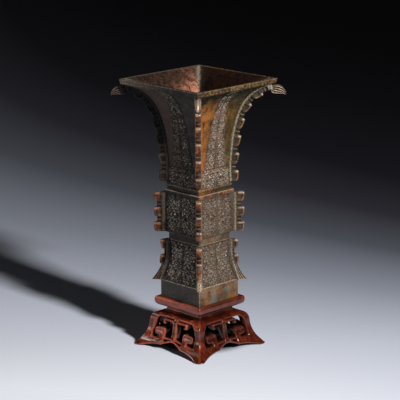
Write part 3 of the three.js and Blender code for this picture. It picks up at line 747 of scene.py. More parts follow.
def tab_marks(phase, out, crest, bead_at):
    """Sunk panels and rubbed parts of a tab and of the notch above it, each up to 1. A panel lies
    between two shares of the run, from beyond the bead to short of the crest. Rubbed are the outer
    half of the tab's upper end, a rim below its crest and the bar in the middle of the notch."""
    below = crest - out
    sunk = np.zeros(np.broadcast(phase, out).shape)
    for start, end, short, depth in (
        (0.14, TAB_SHARE - 0.17, 2.1, 1.0),
        (TAB_SHARE + 0.05, NOTCH_BAR - 0.03, 0.6, 0.6),
        (NOTCH_BAR + 0.05, 0.96, 0.6, 0.6),
    ):
        panel = hump(start - 0.01, start + 0.01, end - 0.01, end + 0.01, phase)
        reach = smooth(bead_at + 2, bead_at + 2.4, out) * smooth(short - 0.2, short + 0.2, below)
        sunk = np.maximum(sunk, depth * panel * reach)
    end = hump(TAB_SHARE - 0.15, TAB_SHARE - 0.05, TAB_SHARE, TAB_SHARE + 0.03, phase)
    rim = hump(0.5, 1.1, 1.7, 2.5, below) * smooth(TAB_SHARE + 0.03, TAB_SHARE, phase)
    bar = hump(NOTCH_BAR - 0.02, NOTCH_BAR + 0.01, NOTCH_BAR + 0.02, NOTCH_BAR + 0.05, phase)
    bar = bar * smooth(bead_at + 1.7, bead_at + 2.5, out)
    return sunk, np.maximum(np.maximum(end * smooth(3.0, 5.5, out), 0.5 * rim), 0.7 * bar)


def strip_shell(quarter, line, run, phase, crest, tall, look, retouch=None, level_ends=False):
    """A flange's loops along its corner: up one side, over the rounded crest and down the other.
    The half thickness is a bead at the root and the plate beyond it, less the sunk panels. The low
    stretches between tabs and the sunk panels get painted shade, and the bead and the rubbed parts
    are worn."""
    bead_at, rub, red = look
    at, normal = along(line * (DIAGONAL, 1), run)
    if level_ends:
        flatten = smooth(0, TAIL_LEVEL_RUN, run)[:, None]
        normal = unit(normal * flatten + np.array([1.0, 0.02]) * (1 - flatten))
    run, phase, crest, tall = (part[:, None] for part in (run, phase, crest, tall))
    side = np.linspace(0, 1, 34)[None, :]
    angle = np.linspace(0, math.pi / 2, 7)[None, 1:]
    edge = crest - CREST_ROUND
    out = np.concatenate([-FLANGE_ROOT + (edge + FLANGE_ROOT) * side, edge + CREST_ROUND * np.sin(angle)], 1)
    sunk, rubbed = tab_marks(phase, out, crest, bead_at)
    if retouch:
        sunk, rubbed = retouch(run, out, crest, sunk, rubbed)
    bead = np.sqrt(np.clip(1 - ((out - bead_at) / BEAD_HALF) ** 2, 0, 1))
    thick = np.maximum(FLANGE_HALF - PANEL_DEPTH * sunk, (FLANGE_HALF + BEAD_RISE) * bead)
    thick = thick - np.concatenate([0 * side, CREST_ROUND * (1 - np.cos(angle))], 1)
    sideways = there_and_back(thick, -1)
    out, sunk, rubbed, bead = (there_and_back(part) for part in (out, sunk, rubbed, bead))
    grid = corner_points(at[:, :1] + normal[:, :1] * out, sideways, at[:, 1:] + normal[:, 1:] * out, quarter)
    low = smooth(tall - 1.0, tall - 2.2, crest) * (1 - rubbed)
    # Painted shade in the notches, deeper right under the crest; the sunk panels darken as well
    dark = low * np.where(crest - out < 1, 0.65, 0.35) * (out > bead_at + 1.7)
    marks = {
        "relief": np.clip(0.75 - 0.54 * sunk - dark, 0, 1),
        "wear": np.maximum(0.9 * rubbed, 0.62 * smooth(0.3, 0.7, bead)) * rub[quarter],
        "rust": smooth(2.5, 5.5, out) * (1 - 0.7 * low) * red[quarter],
    }
    return grid, marks, False


def fan_shell(quarter, lower, upper):
    """The beak's fan of ribs between a lower and an upper edge line: straight across between the two,
    its half thickness a plate with rounded ribs, thinning towards the tip and both edges. Its ribs and
    edges are worn, and on the corners away from the light painted shade, the lip's shadow, darkens
    its root."""
    share = np.linspace(0, 1, 44)[None, :]
    run = np.linspace(0, 1, 60)[:, None]
    low, top = (sampled(run, np.linspace(0, 1, len(line)), line) for line in (lower, upper))
    place = low * (1 - share[..., None]) + top * share[..., None]
    rib = np.abs(np.sin(math.pi * BEAK_RIBS * share))
    edge = np.sqrt(np.clip(1 - (2 * share - 1) ** 8, 0, 1))
    thick = FLANGE_HALF * (1 - 0.62 * run ** 2) * edge * (0.55 + 0.45 * rib) + 0.05
    diagonal, level = there_and_back(place[..., 0]), there_and_back(place[..., 1])
    # Painted shade at the root, the lip's shadow, on the corners away from the light
    lit = 1 - NECK_PAINTED_SHADE[quarter] * smooth(0.6, 0.35, run)
    pale = there_and_back(np.maximum(rib, smooth(0.43, 0.48, np.abs(share - 0.5)))) * np.ones_like(run)
    marks = {
        "relief": 0.75 * pale * lit,
        "wear": smooth(0.6, 1, pale) * BEAK_RUB[quarter] * lit,
        "rust": 0.8 * NECK_RED[quarter],
    }
    return corner_points(diagonal, there_and_back(thick, -1), level, quarter), marks, False


def even_run(start, end):
    """Lengths along the edge at an even spacing."""
    return np.linspace(start, end, round((end - start) / FLANGE_GRAIN) + 1)


def tab_pitch(length, count):
    """Length of one tab and notch in a row that starts and ends with a tab."""
    return length / (count * TAB_SHARE + (count - 1) * (1 - TAB_SHARE))


def flange_piece(register, quarter, shells, material):
    """The piece of one flange, which stands for the CAD's flange of that register and corner."""
    name = CORNERS[quarter]
    node = f"{register}_flange_{name}"
    ring_piece(f"{register}_hooks_{name}", shells, material, "vessel", [node])


def neck_flange(quarter, material):
    """Six tabs up the flared corner, and a beak of ribs that reaches out under the lip. On the corners
    away from the light painted shade darkens the strip upwards, and on red corners the topmost tab is
    rubbed bright."""
    low, high = NECK_FLANGE_FOOT, run_of(NECK_LINE * (DIAGONAL, 1))[-1] - NECK_FLANGE_HEAD
    tab_top = high - BEAK_ROOT
    pitch = (tab_top - low) / NECK_TABS
    run = even_run(low, high)
    phase = np.where(run < tab_top, ((run - low) / pitch) % 1, NO_TAB)
    tall = NECK_TALL - NECK_SHRINK * np.clip((run - low) / (tab_top - low), 0, 1)

    def retouch(run, out, crest, sunk, rubbed):
        """No panels and an even wear where the beak begins."""
        return sunk * (run < tab_top), np.where(run < tab_top, rubbed, 0.8)

    crest = tab_crest(phase, tall, NECK_NOTCH)
    look = (NECK_BEAD, NECK_RUB, NECK_RED)
    shell = strip_shell(quarter, NECK_LINE, run, phase, crest, tall, look, retouch)
    marks = shell[1]
    # Painted shade up the strip on the corners away from the light
    marks["relief"] *= 1 - NECK_PAINTED_SHADE[quarter] * smooth(15, 60, run)[:, None]
    top_tab = hump(tab_top - pitch, tab_top - pitch + 1, tab_top - 3, tab_top - 2, run)
    marks["wear"] = np.maximum(marks["wear"], 0.85 * NECK_RED[quarter] * top_tab[:, None])
    tip = np.array([RIM_HALF * DIAGONAL + BEAK_REACH, LIP_LOW - BEAK_DROP])
    crown = np.array([FLARE_HALF * DIAGONAL, LIP_LOW])
    heel = tip - (BEAK_LENGTH, 0)
    upper = cubic(crown - (6, 3), crown + (1.5, 1.2), tip + (-1.2, 9.4), tip + (0, 0.4))
    lower = cubic(heel + (-2, 6), heel - (1.4, 2.6), tip + (-8, 3.2), tip)
    flange_piece("neck", quarter, [shell, fan_shell(quarter, lower, upper)], material)


def belly_flange(quarter, material):
    """Three broad tabs up the straight corner of the belly."""
    low, high = FLANGE_GAP, BELLY_TOP - NOTCH_TOP - BELLY_FLANGE_HEAD
    run = even_run(low, high)
    phase = ((run - low) / tab_pitch(high - low, BELLY_TABS)) % 1
    tall = np.full(len(run), BELLY_TALL)
    crest = tab_crest(np.minimum(phase, 0.97), tall, BODY_NOTCH)
    look = (BODY_BEAD, BODY_RUB, BELLY_RED)
    shell = strip_shell(quarter, BELLY_LINE, run, phase, crest, tall, look)
    flange_piece("belly", quarter, [shell], material)


def foot_flange(quarter, material):
    """Two tabs below the notch, and a ribbed tail that sweeps out over the plinth's corner."""
    high = run_of(FOOT_LINE * (DIAGONAL, 1))[-1] - FLANGE_GAP
    tab_low = high - FOOT_TAB_RUN
    run = even_run(FIT, high)
    phase = ((run - tab_low) / tab_pitch(FOOT_TAB_RUN, FOOT_TABS)) % 1
    phase = np.where(run >= tab_low, phase, NO_TAB)
    tail = TAIL_WAIST + (TAIL_REACH - TAIL_WAIST) * np.clip(1 - run / tab_low, 0, 1) ** 2.2
    tall = np.where(run < tab_low, tail, FOOT_TALL)
    crest = np.where(run < tab_low, tail, tab_crest(phase, tall, BODY_NOTCH))

    def retouch(run, out, crest, sunk, rubbed):
        """Below the tabs four feathers that follow the tail's sweep."""
        feather = np.abs(np.cos(3.5 * math.pi * np.clip(1 - out / crest, 0, 1)))
        below = (run < tab_low) & (out > 0.5)
        pale = smooth(0.6, 0.9, feather) * np.where(crest - out < 0.9, smooth(15, 8, run), 1)
        return np.where(below, 1.5 - 1.5 * smooth(0.2, 0.75, feather), sunk), np.where(below, pale, rubbed)

    look = (BODY_BEAD, BODY_RUB, FOOT_RED)
    shell = strip_shell(quarter, FOOT_LINE, run, phase, crest, tall, look, retouch, True)
    flange_piece("foot", quarter, [shell], material)


# Stand

SWEEP = TOE_HALF - KNEE_HALF
DRAW_IN = KNEE_HALF - SHOULDER_HALF
RISE = WAIST_LOW - KNEE_LEVEL
SHIN = cubic(
    (TOE_HALF, TOE_THICKNESS),
    (KNEE_HALF + 0.32 * SWEEP, 0.34 * KNEE_LEVEL),
    (KNEE_HALF + 0.11 * SWEEP, 0.66 * KNEE_LEVEL),
    (KNEE_HALF, KNEE_LEVEL),
)
SHOULDER = cubic(
    (KNEE_HALF, KNEE_LEVEL),
    (KNEE_HALF - 0.05 * DRAW_IN, KNEE_LEVEL + 0.7 * RISE),
    (SHOULDER_HALF + 0.76 * DRAW_IN, WAIST_LOW),
    (SHOULDER_HALF, WAIST_LOW),
)
STAND_LINE = np.concatenate([[(TOE_HALF, 0)], SHIN, SHOULDER[1:]])
STAND_RUN = run_of(STAND_LINE)


def climb(level):
    """Length run up the stand's S line at a level, or at each of several."""
    return np.interp(level, STAND_LINE[:, 1], STAND_RUN)


def box_gap(a, s, across, run, radius):
    """Signed distance to a rounded box between two places across and two lengths up the S line:
    outside positive, inside negative."""
    da = np.abs(a - sum(across) / 2) - (across[1] - across[0]) / 2 + radius
    ds = np.abs(s - sum(run) / 2) - (run[1] - run[0]) / 2 + radius
    return np.hypot(np.maximum(da, 0), np.maximum(ds, 0)) + np.minimum(np.maximum(da, ds), 0) - radius


def joined(fillet, first, *others):
    """Union of signed distances, one after the other, with a fillet where they meet."""
    for other in others:
        share = np.maximum(fillet - np.abs(first - other), 0) / fillet
        first = np.minimum(first, other) - share * share * fillet / 4
    return first


def leg_gap(a, s):
    """Signed distance to legs and rail: the opening's arch is a quadratic curve between them."""
    t = np.linspace(0, 1, 16)
    arch_a = quadratic(OPENING_HALF - ARCH_WIDTH, OPENING_HALF - ARCH_LEAN, OPENING_HALF, t)
    arch_s = climb(OPENING_TOP - ARCH_HEIGHT * t * t)
    outline = np.concatenate([[(0, arch_s[0])], np.stack([arch_a, arch_s], 1), [(OPENING_HALF, -9)]])
    solid = (s > arch_s[0]) | (a > np.interp(s, arch_s[::-1], arch_a[::-1]))
    return stroke_gap(a, s, [outline]) * np.where(solid, -1, 1)


def tee_gap(a, s):
    """Signed distance to the hanging T: its bar, the turned and curled ends and the stem."""
    end = TEE_HALF - FRET_BAR
    stem_run = (climb(CUSP_TOP - 2 * LOW_BAR), climb(OPENING_TOP) + 2)
    boxes = (
        ((-TEE_HALF, TEE_HALF), climb([TEE_TOP - FRET_BAR, TEE_TOP]), 1.0),
        ((end, TEE_HALF), climb([TEE_LOW, TEE_TOP]), 1.0),
        ((end - TEE_CURL, TEE_HALF), climb([TEE_LOW, TEE_LOW + CURL_BAR]), 0.9),
        ((-STEM_HALF, STEM_HALF), stem_run, 0.6),
    )
    return joined(FILLET, *[box_gap(a, s, *box) for box in boxes])


def fret_gap(u, s):
    """Signed distance to the pierced side of the stand: legs and rail, arms and scroll hooks above
    the swept toe line, the T and the paired low bars."""
    a = np.abs(u)
    t = np.linspace(0, 1, 30)
    sweep_a = quadratic(HOOK_HALF, OPENING_HALF, TOE_START, t)
    sweep_s = quadratic(climb(ARM_LOW), climb(TOE_RISE), 0, t)
    low = (np.interp(a, sweep_a, sweep_s) - s) * 0.93
    arm = np.maximum(HOOK_HALF - a, s - climb(ARM_TOP))
    sides = np.maximum(joined(1.2, leg_gap(a, s), arm), low)
    upright = HOOK_HALF + HOOK_STEM
    stem = box_gap(a, s, (HOOK_HALF, upright), climb([ARM_LOW, HOOK_TOP]), 1.6)
    head = box_gap(a, s, (HOOK_HALF, upright + HOOK_BEAK), climb([HOOK_TOP - HOOK_HEAD, HOOK_TOP]), 3.2)
    hook = np.maximum(joined(1.5, stem, head), low)
    bars = stroke_gap(a, s, [
        [(STEM_HALF - 1, climb(CUSP_TOP - drop)), (HOOK_HALF + 1, climb(end + 0.9))]
        for drop, end in ((1, ARM_TOP), (2.6, ARM_LOW))
    ]) - LOW_BAR / 2
    return joined(FILLET, joined(1.0, sides, hook), tee_gap(a, s), bars)


def side_point(u, s, depth):
    """Place on the front side at u across and s up the S line, sunk by depth square to the line,
    with the ridge's arc where u comes within its radius of the corner. The radius is wide at the
    toe's tip and narrow up the shin."""
    at, normal = along(STAND_LINE, s)
    half = at[..., 0] - normal[..., 0] * depth
    level = at[..., 1] - normal[..., 1] * depth
    radius = RIDGE_ROUND + (TOE_ROUND - RIDGE_ROUND) * (1 - smooth(0, climb(TOE_RISE), s))
    straight = half - radius
    reach = at[..., 0] - radius
    angle = np.clip((u - reach) / radius, 0, 1) * math.pi / 4
    x = np.where(u > reach, straight + radius * np.sin(angle), u)
    y = -np.where(u > reach, straight + radius * np.cos(angle), half)
    return np.stack([x, y, level], -1)


def back_point(u, s):
    """The same place on the inner face of the wood, drawn together towards the inner corner."""
    at, _ = along(STAND_LINE, s)
    half = at[..., 0] - STAND_WOOD
    start = at[..., 0] - 1.15 * STAND_WOOD
    squeezed = start + (u - start) * (half - start) / (at[..., 0] - start)
    return np.stack([np.where(u > start, squeezed, u), -half, at[..., 1]], -1)


def front_depth(u, s, gap):
    """How far the face lies below the S surface: a quarter round at every edge, behind the raised
    rim that follows each opening a shallow sunk panel, and a line cut down the middle of the stem."""
    inside = np.maximum(-gap, 0)
    edge = FRET_ROUND - np.sqrt(np.maximum(FRET_ROUND ** 2 - np.maximum(FRET_ROUND - inside, 0) ** 2, 0))
    stem = [(0, climb(CUSP_TOP)), (0, climb(TEE_TOP - 1))]
    cut = 1 - smooth(0.25, 0.65, stroke_gap(u, s, [stem]))
    return edge + 0.15 * smooth(1.8, 2.6, inside) + 0.45 * cut * smooth(0.3, 0.8, inside)


def fitted(u, s, owned):
    """Grid places fitted to the fret, and which cells are kept: those inside its outline. Border
    points are moved onto the outline along the distance's slope."""
    step = 0.02
    gap = fret_gap(u, s)
    cell = np.maximum(np.maximum(gap[:-1, :-1], gap[1:, :-1]), np.maximum(gap[:-1, 1:], gap[1:, 1:]))
    kept = (cell < 0.5 * FRET_GRAIN) & owned
    count = np.zeros(u.shape, int)
    for rows in (slice(None, -1), slice(1, None)):
        for cols in (slice(None, -1), slice(1, None)):
            count[rows, cols] += kept
    slope_u = (fret_gap(u + step, s) - fret_gap(u - step, s)) / (2 * step)
    slope_s = (fret_gap(u, s + step) - fret_gap(u, s - step)) / (2 * step)
    size = np.maximum(slope_u ** 2 + slope_s ** 2, 0.2)
    snap = (count > 0) & (count < 4) & (np.abs(gap) < 0.8 * FRET_GRAIN)
    u = np.where(snap, u - gap * slope_u / size, u)
    s = np.where(snap, np.clip(s - gap * slope_s / size, 0, STAND_RUN[-1]), s)
    return u, s, kept


def slab_faces(kept):
    """Faces of a slab between a front and a back grid: the kept cells of both, and a wall along
    every edge that has a kept cell on one side only."""
    rows, cols = kept.shape[0] + 1, kept.shape[1] + 1
    total = rows * cols
    index = np.arange(total).reshape(rows, cols)
    corners = (index[:-1, :-1], index[:-1, 1:], index[1:, 1:], index[1:, :-1])
    quads = np.stack([c[kept] for c in corners], 1)
    padded = np.pad(kept, 1)
    below, above = padded[:-1, 1:-1], padded[1:, 1:-1]
    left, right = padded[1:-1, :-1], padded[1:-1, 1:]
    faces = [quads, quads[:, ::-1] + total]
    for start, end, first, second in (
        (index[:, :-1], index[:, 1:], above, below),
        (index[:, 1:], index[:, :-1], below, above),
        (index[:-1, :], index[1:, :], left, right),
        (index[1:, :], index[:-1, :], right, left),
    ):
        edge = first & ~second
        a, b = start[edge], end[edge]
        faces.append(np.stack([b, a, a + total, b + total], 1))
    return np.concatenate(faces)


def pierced_piece(name, u, s, owned, corner, quarter, material):
    """A pierced slab on one side of the stand, or mirrored round a leg's ridge: the face, the back and
    the walls between them. Its rims and ridge are worn, the ridge also as a painted highlight, and its
    back gets painted shade."""
    u, s, kept = fitted(u, s, owned)
    gap = fret_gap(u, s)
    front, back = side_point(u, s, front_depth(u, s, gap)), back_point(u, s)
    # The ridge is rubbed pale, also as a painted highlight
    ridge = smooth(2.4, 0.8, along(STAND_LINE, s)[0][..., 0] - u)
    rim = np.maximum(smooth(1.6, 0.4, -gap), 0.8 * ridge)
    if corner:
        mirror = np.array([[0, -1, 0], [-1, 0, 0], [0, 0, 1.0]])
        front, back = (np.concatenate([part, (part @ mirror)[:, -2::-1]], 1) for part in (front, back))
        kept = np.concatenate([kept, kept[:, ::-1]], 1)
        rim = np.concatenate([rim, rim[:, -2::-1]], 1)
    used, faces = np.unique(slab_faces(kept), return_inverse=True)
    points = turned(np.concatenate([front.reshape(-1, 3), back.reshape(-1, 3)]), quarter)[used]
    wear = np.concatenate([rim.ravel(), np.zeros(rim.size)])[used]
    # The back's mark of 0 gives it painted shade in the wood
    marks = {"wear": wear, "relief": (used < rim.size) * 1.0}
    faces = faces.reshape(-1, 4).tolist()
    make_piece(name, points, faces, marks, material, "stand", [f"stand_{name}"], 50)


def stand_sides(leg_wood, apron_wood):
    """Four legs, each on two sides of a ridge with its arms and scroll hooks, and four aprons."""
    s = np.linspace(0, STAND_RUN[-1], round(STAND_RUN[-1] / FRET_GRAIN) + 1)[:, None]
    half = along(STAND_LINE, s)[0][..., 0]
    inner = np.arange(HOOK_HALF, EVEN_HALF, FRET_GRAIN)[None, :]
    outer = EVEN_HALF + (half - EVEN_HALF) * np.linspace(0, 1, OUTER_COLUMNS)[None, :]
    leg_u = np.concatenate([inner + 0 * s, outer], 1)
    apron_u = np.linspace(-HEAD_HALF, HEAD_HALF, round(2 * HEAD_HALF / FRET_GRAIN) + 1)[None, :] + 0 * s
    leg_s, apron_s = s + 0 * leg_u, s + 0 * apron_u
    split = climb((HOOK_TOP + TEE_LOW) / 2)

    def leg_owns(u, s):
        """Cells that belong to a leg: its head, shin and toe, and below the T its arm and hook."""
        a = np.abs(u[:-1, :-1] + u[:-1, 1:]) / 2
        middle = (s[:-1, :-1] + s[1:, :-1]) / 2
        return (a > HEAD_HALF) | ((a > HOOK_HALF) & (middle < split))

    leg_cells, apron_cells = leg_owns(leg_u, leg_s), ~leg_owns(apron_u, apron_s)
    for quarter in range(4):
        pierced_piece(f"leg_{CORNERS[quarter]}", leg_u, leg_s, leg_cells, True, quarter, leg_wood)
        pierced_piece(f"apron_{SIDES[quarter]}", apron_u, apron_s, apron_cells, False, quarter, apron_wood)


def stand_top(material):
    """Waist with a hollow moulding, and the bull-nosed board with its tray."""
    tray = PLINTH_HALF + 0.5
    nose = BOARD_LOW + 0.55 * (BOARD_TOP - BOARD_LOW)
    waist_foot = np.array([WAIST_HALF, WAIST_LOW])
    waist_head = np.array([WAIST_HALF, WAIST_TOP])
    board_foot = np.array([BOARD_HALF, BOARD_LOW])
    board_nose = np.array([BOARD_HALF, nose])
    board_head = np.array([BOARD_HALF, BOARD_TOP])
    low, pull = waist_foot + (0.4, 1.2), waist_foot + (-1.0, 2.2)
    push, high = waist_head - (1.2, 2.0), waist_head + (0.6, 0)
    foot = [waist_foot + (0.9, 0), waist_foot + (0.9, 0.9)]
    waist = np.concatenate([foot, cubic(low, pull, push, high, 24)])
    board = np.concatenate([
        [board_foot - (6.5, 0)],
        cubic(board_foot - (4.2, 0), board_foot + (-1.4, 0.4), board_nose - (0, 2.6), board_nose, 26),
        cubic(board_nose, board_head - (0, 1.3), board_head - (0.8, 0), board_head - (2.6, 0), 22)[1:],
        [(tray + 0.5, BOARD_TOP), (tray + 0.1, BOARD_TOP - 0.2), (tray, BOARD_TOP - 0.6)],
        [(tray, FOOT_LOW), (tray - 1, FOOT_LOW)],
    ])
    for name, profile, radius in (("waist", waist, 1.4), ("board", board, 1.8)):
        # The board's nose and top edge are rubbed pale, also as painted highlights; its underside and the
        # waist get painted shade
        worn = near(profile, [(BOARD_HALF, nose, 0.7), (BOARD_HALF - 1, BOARD_TOP, 1)], 1.8)
        marks = {"wear": worn, "relief": 1 - 0.3 * smooth(nose, BOARD_LOW, profile[:, 1:])}
        shell = (square_ring(profile, radius), marks, False)
        ring_piece(name, [shell], material, "stand", [f"stand_{name}"], 50)


# Shaders

VALUE, COLOUR = "NodeSocketFloat", "NodeSocketColor"

# Colours of the patina, six hexadecimal digits each; a pair is mottled between the two
# lighter grey of the plinth, partly painted light of the floor's bounce
PLINTH_GREY_AND_BOUNCE = "48433e"
NECK_SHADE = "372c28"
BODY_BLOOM = "4d4036"
# olive-black mottle under the lip, also standing in for the lip's painted shadow
MOSS_AND_LIP_SHADOW = ("0d0b06", "2c2d18")
LIP_BRASS = ("1c150c", "6c5230")
PLINTH_MOTTLE = ("37322b", "754c26")
STAIN = "21180d"
DUST = ("2b2c30", "655f56")
BORE_BROWN = ("0e0a08", "3c2a20")
BORE_EMBER = ("5a3426", "d08c70")
# painted shade of the inner walls that face away from the light
BORE_PAINTED_SHADE = ("080403", "2b1408")
GREEN = "4f6138"
SOOT = "100d0b"
# hollows: dark patina and painted shade
HOLLOW_PATINA_AND_SHADE = "090807"

# Colours of the hardwood
WOOD_TINT = "5a2213"
WOOD_GRAIN = ("521a10", "903c24")
WOOD_PATCH = "2c0e06"
# rubbed edges, also painted highlights
WOOD_RUBBED_AND_HIGHLIGHT = "a8563c"
# painted shade on the half towards the light
WOOD_PAINTED_SIDE_SHADE = "1a0703"
# painted shade of the fret's backs, the board's underside and the waist
WOOD_PAINTED_SHADE = "0d0403"

# Levels, in metres, between which the patina changes
PLINTH_FADE = (0.078, 0.072)
SHADE_FADE = (0.19, 0.2)
GOLD_FADE = (0.185, 0.205)
BODY_FADE = (0.185, 0.165)
LIP_SHADOW_FADE = (0.294, 0.312)
BRASS_FADE = (0.2945, 0.296)
DUST_FADE = (0.16, 0.2)
EMBER_FADE = (0.322, 0.3)


def paint(code):
    """A colour written as six hexadecimal digits, as the linear values that sockets take."""
    values = [int(code[k:k + 2], 16) / 255 for k in (0, 2, 4)]
    return (*[v / 12.92 if v <= 0.04045 else ((v + 0.055) / 1.055) ** 2.4 for v in values], 1)


class Shading:
    """Short words for adding nodes to one shader tree."""

    def __init__(self, tree):
        self.tree = tree

    def fill(self, node, inputs):
        """Sets a node's inputs: a socket is linked, a colour code painted, any other value set."""
        for key, value in inputs.items():
            if isinstance(value, bpy.types.NodeSocket):
                self.tree.links.new(value, node.inputs[key])
            else:
                node.inputs[key].default_value = paint(value) if isinstance(value, str) else value

    def add(self, kind, inputs=None, **settings):
        """Outputs of a new node with these settings and inputs."""
        made = self.tree.nodes.new(f"ShaderNode{kind}")
        for key, value in settings.items():
            setattr(made, key, value)
        self.fill(made, inputs or {})
        return made.outputs

    def mix(self, factor, first, second):
        """Colour between two, by a factor."""
        return self.add("Mix", {0: factor, 6: first, 7: second}, data_type="RGBA")[2]

    def step(self, value, low, high, start=0.0, end=1.0):
        """Smooth step of a value from start at low to end at high."""
        inputs = {"Value": value, "From Min": low, "From Max": high, "To Min": start, "To Max": end}
        return self.add("MapRange", inputs, interpolation_type="SMOOTHSTEP")[0]

    def sums(self, operation, *values):
        """One arithmetic step."""
        return self.add("Math", dict(enumerate(values)), operation=operation)[0]

    def times(self, first, second):
        """Product of two values."""
        return self.sums("MULTIPLY", first, second)

    def cloud(self, place, scale, detail=4.0, rough=0.55, seed=0.0):
        """Noise value over a place."""
        inputs = {"Vector": place, "Scale": scale, "Detail": detail, "Roughness": rough, "W": seed}
        return self.add("TexNoise", inputs, noise_dimensions="4D")["Fac"]

    def mark(self, name):
        """A piece's own mark, such as its relief or its wear."""
        return self.add("Attribute", attribute_name=name)["Fac"]

    def place(self):
        """Object coordinates."""
        return self.add("TexCoord")["Object"]

    def stretched(self, place, scale):
        """A place scaled along its three axes."""
        return self.add("Mapping", {"Vector": place, "Scale": scale})[0]

    def bump(self, strength, distance, height):
        """Normal of a surface with fine unevenness."""
        return self.add("Bump", {"Strength": strength, "Distance": distance, "Height": height})[0]


def patina_group():
    """Aged surface of a casting: a dark mottled ground, lighter on the plinth, partly as painted light
    of the floor's bounce; on the sunny half a streaky bloom that is golden near the front corner and
    olive further round, with a painted shadow of the lip in the mottle below it; red where the casting
    is marked red; brown inside, with painted shade on the inner walls that face away from the light;
    green specks; hollows darkened by dark patina and painted shade; and bright rubbed heights."""
    group = bpy.data.node_groups.new("patina", "ShaderNodeTree")
    colours = [(name, COLOUR) for name in ("Dark", "Warm", "Gold", "Olive", "Rust", "Rubbed")]
    marks = [(name, VALUE) for name in ("Relief_and_shade", "Wear_and_highlight", "Red", "Inside")]
    results = [("Color", COLOUR), ("Roughness", VALUE), ("Metallic", VALUE), ("Height", VALUE)]
    for way, sockets in (("INPUT", colours + marks), ("OUTPUT", results)):
        for socket, kind in sockets:
            group.interface.new_socket(socket, in_out=way, socket_type=kind)
    given = group.nodes.new("NodeGroupInput").outputs
    out = group.nodes.new("NodeGroupOutput")
    shade = Shading(group)
    mix, step, sums, times, cloud = shade.mix, shade.step, shade.sums, shade.times, shade.cloud
    relief, wear, inside = given["Relief_and_shade"], given["Wear_and_highlight"], given["Inside"]
    place = shade.place()
    x, y, z = shade.add("SeparateXYZ", {0: place})[:3]
    broad = cloud(place, 55, 4)
    streak = cloud(shade.stretched(place, (1, 1, 0.3)), 210, 5, 0.65, 5)
    middle = cloud(place, 140, 5, 0.6, 3)
    fine = cloud(place, 620, 4, 0.65, 7)
    grit = cloud(place, 330, 4, 0.6, 15)
    sunny = step(sums("ADD", x, y), -0.003, 0.003)
    height = sums("MULTIPLY_ADD", broad, 0.05, z)

    # Dark ground, greyer and lighter on the plinth, partly painted light of the floor's bounce, and browner
    # on the shaded half of the neck
    colour = mix(step(middle, 0.36, 0.66), given["Dark"], given["Warm"])
    plinth = step(z, *PLINTH_FADE)
    colour = mix(times(plinth, 0.5), colour, PLINTH_GREY_AND_BOUNCE)
    shaded = times(step(x, 0.015, -0.02, 0.0, 0.7), step(z, *SHADE_FADE))
    colour = mix(shaded, colour, NECK_SHADE)

    # Bloom of the sunny half, register by register
    lean = sums("MULTIPLY_ADD", streak, 0.6, times(broad, 0.4))
    golden = step(sums("MULTIPLY_ADD", y, -5.0, lean), 0.38, 0.66)
    golden = times(golden, step(z, *GOLD_FADE, 0.55, 1.0))
    bloom = mix(golden, given["Olive"], given["Gold"])
    bloom = mix(step(z, *BODY_FADE, 0.0, 0.6), bloom, BODY_BLOOM)
    # Olive-black mottle under the lip, which also stands in for the lip's painted shadow
    bloom = mix(step(height, *LIP_SHADOW_FADE, 0.0, 0.95), bloom, mix(step(middle, 0.45, 0.6), *MOSS_AND_LIP_SHADOW))
    bloom = mix(step(z, *BRASS_FADE), bloom, mix(step(grit, 0.38, 0.62), *LIP_BRASS))
    mottle = mix(step(cloud(place, 85, 5, 0.6, 13), 0.44, 0.58), *PLINTH_MOTTLE)
    bloom = mix(times(plinth, 0.75), bloom, mottle)
    amount = times(sunny, step(broad, 0.3, 0.55, 0.5, 1.0))
    amount = times(amount, step(given["Red"], 0.2, 0.9, 1.0, 0.25))
    colour = mix(amount, colour, bloom)

    # Stains, dust and red patches
    colour = mix(times(sunny, step(streak, 0.48, 0.34, 0.0, 0.75)), colour, STAIN)
    dusty = step(cloud(place, 75, 3, 0.5, 11), 0.48, 0.66, 0.0, 0.6)
    dusty = times(dusty, step(z, *DUST_FADE, 1.0, 0.1))
    colour = mix(dusty, colour, mix(sunny, *DUST))
    colour = mix(times(given["Red"], step(middle, 0.42, 0.6, 0.1, 1.0)), colour, given["Rust"])

    # Inside of the mouth: painted shade, near black, on the half whose walls face away from the light; on
    # the lit half brown, ember red lower down towards the back
    grain = sums("MULTIPLY_ADD", cloud(place, 420, 4, 0.7, 9), 0.5, times(middle, 0.5))
    grain = step(grain, 0.38, 0.62)
    glow = times(step(height, *EMBER_FADE, 0.1, 0.9), step(y, -0.015, 0.04))
    brown = mix(glow, mix(grain, *BORE_BROWN), mix(grain, *BORE_EMBER))
    # Painted shade on the inner walls that face away from the light
    brown = mix(sunny, brown, mix(grain, *BORE_PAINTED_SHADE))
    colour = mix(inside, colour, brown)

    # Green specks, soot, hollows darkened by dark patina and painted shade, and rubbed heights
    green = times(step(middle, 0.52, 0.64), step(fine, 0.46, 0.58))
    green = times(green, step(sunny, 0, 1, 0.12, 0.4))
    colour = mix(times(green, step(inside, 0, 1, 1.0, 0.0)), colour, GREEN)
    colour = mix(step(fine, 0.46, 0.36, 0.0, 0.75), colour, SOOT)
